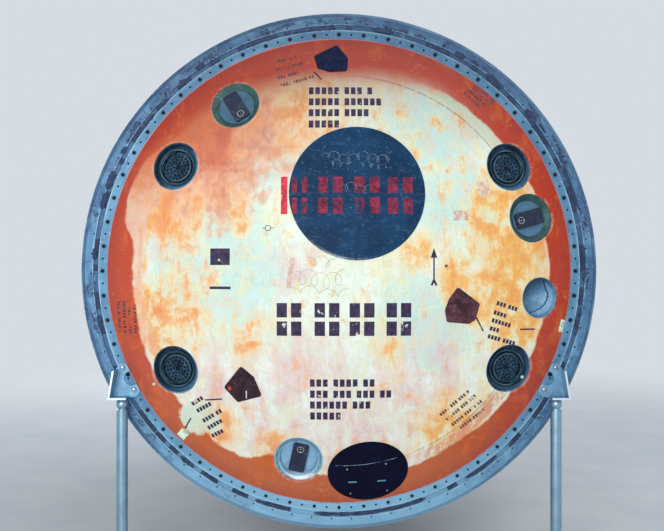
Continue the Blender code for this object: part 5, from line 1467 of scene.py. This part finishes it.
# %% Charred skin
def charred_skin():
    """Blocks of ablative stuff in staggered hoops, scorched, with soft marks of the hot air."""
    f = Finish("charred_skin")
    radius = f.length(f.x, f.y)
    turn = f.y.maths("ARCTAN2", f.x) * (0.5 / math.pi)
    ring = f.node("ShaderNodeCombineXYZ", {}, (turn * 18.0, f.depth * 0.9, radius * 0.9)).outputs[0]
    flow = f.noise(1.0, 6.0, 0.60, 0.8, ring)
    broad = f.noise(2.2, 6.0, 0.60, 0.4, shift=8.0)
    mottle = f.noise(11.0, 9.0, 0.70, 0.3, shift=2.0)
    fine = f.noise(75.0, 6.0, 0.72, shift=5.0)
    # Staggered seams: a hoop every 0.15 m, and 24 blocks round each
    hoop = f.depth * 6.6 + mottle.swing(0.03) + 0.35
    row = hoop.maths("FLOOR")
    along = hoop.maths("FRACT")
    column = turn * 24.0 + row * 0.5 + mottle.swing(0.02)
    across = column.maths("FRACT")
    joint = along.rise(0.030, 0.006).at_least(along.rise(0.970, 0.994))
    joint = joint.at_least(across.rise(0.018, 0.004)).at_least(across.rise(0.982, 0.996))
    wrapped = column.maths("FLOOR").maths("FLOORED_MODULO", 24.0)
    label = f.node("ShaderNodeCombineXYZ", {}, (wrapped, row, 0.0)).outputs[0]
    block = Value(f, f.node("ShaderNodeTexWhiteNoise", {}, (label,)).outputs[0])
    char, umber, ash = (50, 45, 43), (82, 70, 60), (136, 126, 114)
    f.ground((mottle * 0.6 + block * 0.25 + broad * 0.3).rise(0.42, 0.74), char, umber)
    f.coat(broad.blend(mottle).rise(0.50, 0.66) * 0.45, (112, 92, 74))
    f.coat((mottle * 0.45 + fine * 0.45 + block * 0.06).rise(0.49, 0.60) * 0.50, ash)
    f.coat(flow.rise(0.52, 0.70) * 0.32, (38, 34, 33))
    f.coat(flow.rise(0.46, 0.30) * 0.25, (150, 140, 126))
    pits = fine.blend(mottle, 0.3).rise(0.40, 0.33)
    f.coat(pits * 0.6, (24, 21, 21))
    soot = (0.34 - f.depth + broad.swing(0.5) + flow.swing(0.3)).rise(0.0, 0.30)
    f.coat(soot * 0.70, (30, 27, 27))
    f.coat(joint * 0.62, (22, 19, 19))
    height = mottle * 0.7 + fine * 0.7 + block * 0.15 - joint * 0.6 - pits * 0.4
    return f.done(0.76 + fine * 0.2, 0.0, f.bump(height, 0.7, 0.007), **DULL)


CHARRED_SKIN = charred_skin()
COVER_SKIN = stained_metal("cover_skin", (74, 70, 64), (104, 97, 86), (150, 142, 128), 0.64, 0.0, 9.0)

# %% Flank, with openings for its windows, periscope, thrusters and plate
WINDOWS = (("right", 22.0), ("left", 158.0))
# name, clock angle, share of the flank's length, bore, flange, height of the rim
PORTHOLES = [(f"{side}_window", clock, 0.620, 0.105, 0.045, 0.006) for side, clock in WINDOWS]
PORTHOLES.append(("periscope", -90.0, 0.480, 0.070, 0.030, 0.050))
FRAME_TUBE, FRAME_DEPTH = 0.010, 0.016
THRUSTER_PLACES = [(clock, 0.845) for clock in (45.0, 135.0, -48.0, -132.0)]
UMBILICAL_PLACE = (64.0, 0.187)
# place, width, height, corner, depth
POCKETS = [(place, 0.190, 0.100, 0.020, 0.034) for place in THRUSTER_PLACES]
POCKETS.append((UMBILICAL_PLACE, 0.240, 0.140, 0.018, 0.022))
taper = SEAM[0] - FLANK_START[0]
shares = [i / 12 for i in range(13)]
flank_profile = [(FLANK_START[0] + taper * s, -FLANK_START[1] - FLANK_LENGTH * s) for s in shares]
flank_profile.append((SEAM_INNER[0], -SEAM_INNER[1]))
flank_profile.append((FLANK_START[0] - HULL_WALL / math.cos(CONE), -FLANK_START[1]))
flank = turned("flank_skin", flank_profile, 192)
for _, clock, share, bore, flange, _ in PORTHOLES:
    for radius, low in ((bore + FRAME_TUBE, -0.1), (bore + flange, -FRAME_DEPTH - GAP)):
        combined(flank, settle(rod("hole", radius + GAP, low, 0.1, 64), on_flank(clock, share)))
for place, width, height, corner, depth in POCKETS:
    outline = rounded_box(width + 2 * GAP, height + 2 * GAP, corner + GAP)
    combined(flank, slab("hole", outline, -depth - GAP, 0.05, on_flank(*place)))
finished(flank, CHARRED_SKIN, "charred_skin", "flank_shell")

# %% Crown with pockets for the two parachute covers
start = math.pi / 2 + CONE + GAP / CROWN_INNER
ends = [math.pi - math.asin((COLLAR_RADIUS + GAP) / radius) for radius in (CROWN_RADIUS, CROWN_INNER)]
crown_profile = arc(CROWN_RADIUS, -CROWN_STATION, start, ends[0], 24)
crown_profile += arc(CROWN_INNER, -CROWN_STATION, start, ends[1], 12)[::-1]
crown = turned("crown_skin", crown_profile, 192)
# The main cover fills the crown from the collar to the flank, but for this much room
COLLAR_ROOM, FLANK_ROOM = 0.120, 0.140
cover_start = math.asin(COLLAR_RADIUS / CROWN_RADIUS) + COLLAR_ROOM / CROWN_RADIUS
room = math.pi / 2 - CONE - cover_start - FLANK_ROOM / CROWN_RADIUS
main_height = 2 * CROWN_RADIUS * math.sin(room / 2)
COVER_DEPTH, COVER_PROUD = 0.026, 0.006
# node, clock angle, width, height, corner
COVERS = (
    ("main_chute_cover", 90.0, 0.540, main_height, 0.320 * main_height),
    ("reserve_chute_cover", 148.0, 0.380, 0.500, 0.150),
)
for node, clock, width, height, corner in COVERS:
    seat = on_crown(clock, cover_start + math.asin(height / 2 / CROWN_RADIUS))
    wide = 2 * math.hypot(width, height) * 0.56
    caps = []
    for grown, high in ((GAP, 0.05), (0.0, COVER_PROUD)):
        low = -COVER_DEPTH - grown
        disc = curved_disc("cap", wide, wide, low, high, 10, 96, sphere=CROWN_RADIUS)
        outline = rounded_box(width + 2 * grown, height + 2 * grown, corner + grown, 10)
        limits = slab("limits", outline, -0.4, 0.4, HERE)
        caps.append(settle(combined(disc, limits, "INTERSECT"), seat))
    pocket, cover = caps
    combined(crown, pocket)
    cover.name = node + "_skin"
    finished(bevelled(cover, 0.003), COVER_SKIN, "charred_skin", node)
    places = []
    for x, y in spaced(rounded_box(width - 0.044, height - 0.044, corner - 0.022, 6), 40):
        drop = math.sqrt(CROWN_RADIUS**2 - x * x - y * y) - CROWN_RADIUS
        places.append(seat @ Matrix.Translation((x, y, drop + COVER_PROUD - 0.0005)))
    screw = rod("screw", 0.0055, -0.001, 0.0022, 6, 0.0006)
    finished(repeated(screw, node + "_screws", places), HATCH_METAL, "hatch_metal")
finished(crown, CHARRED_SKIN, "charred_skin", "crown_shell")

# %% [markdown]
# ## Windows, periscope, thrusters and umbilical plate
#
# These sit in the openings just cut. Window frames are turned flanges with a circle of bolts
# round a clear pane. Thruster blocks keep the solid's shape with softer edges, and each nozzle
# gets a turned bell.

# %% Frames and panes
def pane_glass():
    f = Finish("porthole_glass")
    smear = f.noise(14.0, 6.0, 0.6, 0.6)
    rough = 0.04 + smear.rise(0.5, 0.8) * 0.12
    f.ground(smear.rise(0.45, 0.7) * 0.4, (216, 228, 226), (180, 196, 190))
    return f.done(rough, **{"Transmission Weight": 0.9, "IOR": 1.45})


PANE_GLASS = pane_glass()
for name, clock, share, bore, flange, rim in PORTHOLES:
    seat = on_flank(clock, share)
    wide, tube = bore + flange, bore + FRAME_TUBE
    frame_profile = [(bore, rim), (wide - 0.006, rim), (wide, rim - 0.006), (wide, -FRAME_DEPTH)]
    frame_profile += [(tube, -FRAME_DEPTH), (tube, -0.066), (bore, -0.066)]
    rim_piece = turned(f"{name}_rim", frame_profile, 96, seat, bevel=0.0012)
    bolt = rod("bolt", 0.0055, -0.001, 0.0035, 6, 0.0008)
    bolts = repeated(bolt, "bolts", around(12, bore + flange / 2, seat, 0.1, rim))
    rim_piece = joined(f"{name}_rim", rim_piece, bolts)
    finished(rim_piece, HATCH_METAL, "hatch_metal", f"{name}_frame")
    pane_profile = [(0.0, -0.012), (bore - GAP, -0.012), (bore - GAP, -0.026), (0.0, -0.026)]
    pane = turned(f"{name}_pane", pane_profile, 96, seat, bevel=0.001)
    finished(pane, PANE_GLASS, "port_glass", f"{name}_glass")

# %% Thrusters and umbilical plate
# radius, height
BELL_PROFILE = [
    (0.0085, -0.0215), (0.0292, 0.0038), (0.0315, 0.0055), (0.0325, 0.0042), (0.0105, -0.0218),
]
for number, place in enumerate(THRUSTER_PLACES, 1):
    node = f"thruster_block_{number}"
    finished(refined(node, f"thruster_{number}", 0.0015), ENGINE_METAL, "engine_metal", node)
    seats = [on_flank(*place) @ Matrix.Translation((x, 0.0, 0.0006)) for x in (-0.043, 0.043)]
    bells = [turned("bell", BELL_PROFILE, 40, seat) for seat in seats]
    finished(joined(f"thruster_bells_{number}", *bells), BOLT_METAL, "engine_metal")
umbilical = refined("umbilical_plate", "umbilical", 0.0012)
pin = rod("pin", 0.0016, 0.0175, 0.0210, 6)
places = []
for x in (-0.074, 0.0, 0.074):
    seat = on_flank(*UMBILICAL_PLACE) @ Matrix.Translation((x, 0.0, 0.0))
    places += around(10, 0.018, seat) + around(5, 0.009, seat)
finished(repeated(pin, "umbilical_pins", places), BOLT_METAL, "hatch_metal")
finished(umbilical, PORT_FLOOR, "port_metal", "umbilical_plate")

# %% [markdown]
# ## Nose collar and hatch
#
# The collar is a turned ring with a bolt flange. The lid hangs on two ears inside it and swings
# into the cabin, so the lid and its wheel ride on the hatch.

# %% Collar with its bolt flange and hinge ears
# radius, height
collar_profile = [
    (COLLAR_BORE, -COLLAR_INNER), (COLLAR_RADIUS, -COLLAR_INNER), (COLLAR_RADIUS, 0.050 - NOSE),
    (FLANGE_RADIUS, 0.050 - NOSE), (FLANGE_RADIUS, -NOSE), (0.336, -NOSE), (0.330, 0.006 - NOSE),
    (0.330, 0.024 - NOSE), (COLLAR_BORE, 0.024 - NOSE),
]
collar = turned("collar_ring", collar_profile, 128, bevel=0.002)
places = around(24, 0.445, first=0.06, height=-NOSE)
combined(collar, repeated(rod("bit", 0.0065, -0.02, 0.02, 12), "bits", places))
groove = [(0.372, 0.01 - NOSE), (0.384, 0.01 - NOSE), (0.384, -0.01 - NOSE), (0.372, -0.01 - NOSE)]
combined(collar, turned("groove", groove, 128))
ears = refined("hatch_collar", "hinge_ears", 0.0008)
around_ears = [(0.34, -0.06), (0.42, -0.06), (0.42, 0.06), (0.34, 0.06)]
crop = slab("crop", around_ears, 0.0002 - COLLAR_INNER, 0.2 - COLLAR_INNER)
combined(ears, crop, "INTERSECT")
finished(joined("collar_body", collar, ears), HATCH_METAL, "hatch_metal", "hatch_collar")

# %% Lid and wheel
lid = refined("hatch_lid", "lid_body", 0.002)
finished(lid, HATCH_METAL, "hatch_metal", "hatch_lid", body="hatch")
wheel = refined("hatch_wheel", "lid_wheel", 0.0008)
shaped(wheel, "SUBSURF", levels=1, render_levels=1)
finished(wheel, BOLT_METAL, "hatch_metal", "hatch_wheel", body="hatch")

# %% [markdown]
# ## Cabin
#
# Little of the cabin shows, through the windows and the open hatch: a floor, three moulded
# couches that lie fan-wise with their feet together, and the instrument block.

# %% Floor, couches and console
def cabin_paint():
    f = Finish("cabin_paint")
    cast = f.noise(5.0, 6.0, 0.6)
    fine = f.noise(90.0, 4.0, 0.6)
    f.ground(cast.rise(0.4, 0.65), (150, 168, 154), (128, 148, 138))
    f.coat(fine.blend(cast, 0.4).rise(0.58, 0.66) * 0.4, (176, 186, 172))
    return f.done(0.5 + fine * 0.2, 0.0, f.bump(fine, 0.2, 0.001))


def couch_liner():
    """Woven cloth stretched over a moulded shell."""
    f = Finish("couch_liner")
    across = (f.x * 900.0).maths("SINE")
    along = (f.y * 900.0).maths("SINE")
    wear = f.noise(9.0, 6.0, 0.6)
    f.ground(wear.rise(0.42, 0.66), (176, 172, 156), (150, 146, 132))
    f.coat((across * along).rise(-0.2, 0.8) * 0.3, (120, 116, 104))
    return f.done(0.85, 0.0, f.bump(across * along * 0.5 + wear, 0.4, 0.001))


CABIN_PAINT = cabin_paint()
COUCH_LINER = couch_liner()
finished(refined("cabin_floor", "floor_plate", 0.002), CABIN_PAINT, "cabin_green", "cabin_floor")
finished(refined("console", "instrument_block", 0.006, 3), CABIN_PAINT, "cabin_green", "console")
for side in ("left", "centre", "right"):
    node = f"couch_{side}"
    finished(refined(node, node + "_liner", 0.020, 4), COUCH_LINER, "couch_shell", node)

# %% [markdown]
# ## Stand
#
# Four folded brackets hold the ring and the nose flange by two bolts each. Under each shelf a
# ball sits on a polished tube, which ends in a round foot.

# %% Bright domed bolts, two to a bracket
half_spacing = HOLE_CIRCLE * math.sin(math.pi / HOLES)
bolt_profile = [(0.0, 0.0082), (0.0116, 0.0082), (0.0116, 0.0135), (0.0104, 0.0163)]
bolt_profile += [(0.0078, 0.0183), (0.0040, 0.0193), (0.0, 0.0194)]
places = []
for circle, station in ((HOLE_CIRCLE, 0.0), (0.430, NOSE)):
    reach = math.sqrt(circle**2 - half_spacing**2)
    facing = Matrix.Rotation(math.pi if station else 0.0, 4, "X")
    for angle in (-27.0, 207.0):
        turn = Matrix.Rotation(math.radians(angle), 4, "Z")
        for across in (-half_spacing, half_spacing):
            places.append(BASE @ turn @ Matrix.Translation((reach, across, -station)) @ facing)
bolt = turned("bolt", bolt_profile, 20, HERE)
finished(repeated(bolt, "bracket_bolts", places), BOLT_METAL, "polished_steel")

# %% Brackets and posts
BALL_RADIUS, BALL_FLAT, NECK_RADIUS = 0.024, 0.012, 0.017
for side in ("front_right", "front_left", "rear_right", "rear_left"):
    node = f"bracket_{side}"
    finished(refined(node, node + "_plate", 0.0012), BRACKET_METAL, "polished_steel", node)
    node = f"post_{side}"
    low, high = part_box(node)
    ball_start = math.pi - math.asin(NECK_RADIUS / BALL_RADIUS)
    ball_end = math.asin(BALL_FLAT / BALL_RADIUS)
    ball_centre = high.z - math.sqrt(BALL_RADIUS**2 - BALL_FLAT**2)
    ball = arc(BALL_RADIUS, ball_centre, ball_start, ball_end, 14)
    neck = ball[0][1] - 0.008
    post_profile = [(0.0, 0.0), (0.125, 0.0), (0.125, 0.008), (0.121, 0.012), (0.036, 0.012)]
    post_profile += [(0.036, 0.034), (0.023, 0.034), (0.023, neck), (NECK_RADIUS, neck)]
    post_profile += [*ball, (0.0, high.z)]
    foot = Matrix.Translation(((low.x + high.x) / 2, (low.y + high.y) / 2, 0.0))
    post = turned(f"post_tube_{side}", post_profile, 64, foot, bevel=0.0012)
    finished(post, POLISHED_STEEL, "polished_steel", node)

# %% [markdown]
# ## Camera, light and floor
#
# The photograph was taken level with the base, from 3.6 m in front of it and a little to the
# left. One large soft lamp stands in front, to the left and a little above. A second hangs over
# the right side, a third stands behind, and the world fills the rest evenly.

# %% Camera
# The photograph's width and its focal length, both in pixels
PHOTO_WIDTH, PHOTO_LENS = 664, 860
camera_data = bpy.data.cameras.new("front_camera")
camera_data.sensor_width = 36.0
camera_data.lens = PHOTO_LENS / PHOTO_WIDTH * camera_data.sensor_width
camera = bpy.data.objects.new("front_camera", camera_data)
camera.location = BASE @ Vector((-0.0293, 0.023, 3.6))
camera.rotation_euler = (math.pi / 2, 0.0, 0.0)
bpy.context.collection.objects.link(camera)
bpy.context.scene.camera = camera

# %% Lamps
# name, place, size, power
LAMPS = (
    ("front_soft", (-1.6, -7.1, 2.3), 3.2, 235.0),
    ("top_soft", (2.5, -1.0, 6.0), 4.0, 80.0),
    ("rear_soft", (-1.8, 7.2, 2.8), 3.4, 185.0),
)
for name, place, size, power in LAMPS:
    data = bpy.data.lights.new(name, "AREA")
    data.size = size
    data.energy = power
    lamp = bpy.data.objects.new(name, data)
    lamp.location = place
    away = Vector(place) - Vector((0.0, 0.0, AXIS_HEIGHT))
    lamp.rotation_euler = away.to_track_quat("Z", "Y").to_euler()
    bpy.context.collection.objects.link(lamp)

# %% World: an even light, and a plain background wherever the camera looks past the floor
BACKGROUND = shade(214, 220, 226)
world = bpy.data.worlds.new("studio")
world.use_nodes = True
bpy.context.scene.world = world
tree = world.node_tree
light = tree.nodes["Background"]
linked(tree, light, {"Color": (0.90, 0.95, 1.0, 1.0), "Strength": 0.55})
seen = new_node(tree, "ShaderNodeBackground", sockets={"Color": BACKGROUND})
rays = new_node(tree, "ShaderNodeLightPath").outputs
rays = (rays["Is Camera Ray"], rays["Is Transmission Ray"])
either = new_node(tree, "ShaderNodeMath", {"operation": "MAXIMUM"}, rays)
sources = (either.outputs[0], light.outputs[0], seen.outputs[0])
choice = new_node(tree, "ShaderNodeMixShader", sockets=sources)
linked(tree, tree.nodes["World Output"], {"Surface": choice.outputs[0]})

# %% Floor that fades into the background
only()
bpy.ops.mesh.primitive_circle_add(vertices=128, radius=40.0, fill_type="NGON")
floor = named("studio_floor")
f = Finish("studio_floor", (0.0, 0.0, 0.0))
away = f.length(f.x, f.depth).rise(2.6, 7.0)
grain = f.noise(3.0, 4.0, 0.5)
f.ground(grain.rise(0.35, 0.65), (202, 208, 214), (208, 213, 218))
f.done(1.0, **{"Specular IOR Level": 0.0})
glow = f.node("ShaderNodeEmission", {}, (BACKGROUND, 1.0))
fade = f.node("ShaderNodeMixShader", {}, (away, f.shader.outputs[0], glow.outputs[0]))
linked(f.tree, f.tree.nodes["Material Output"], {"Surface": fade.outputs[0]})
floor.data.materials.append(f.material)
bpy.context.scene.view_settings.view_transform = "Standard"
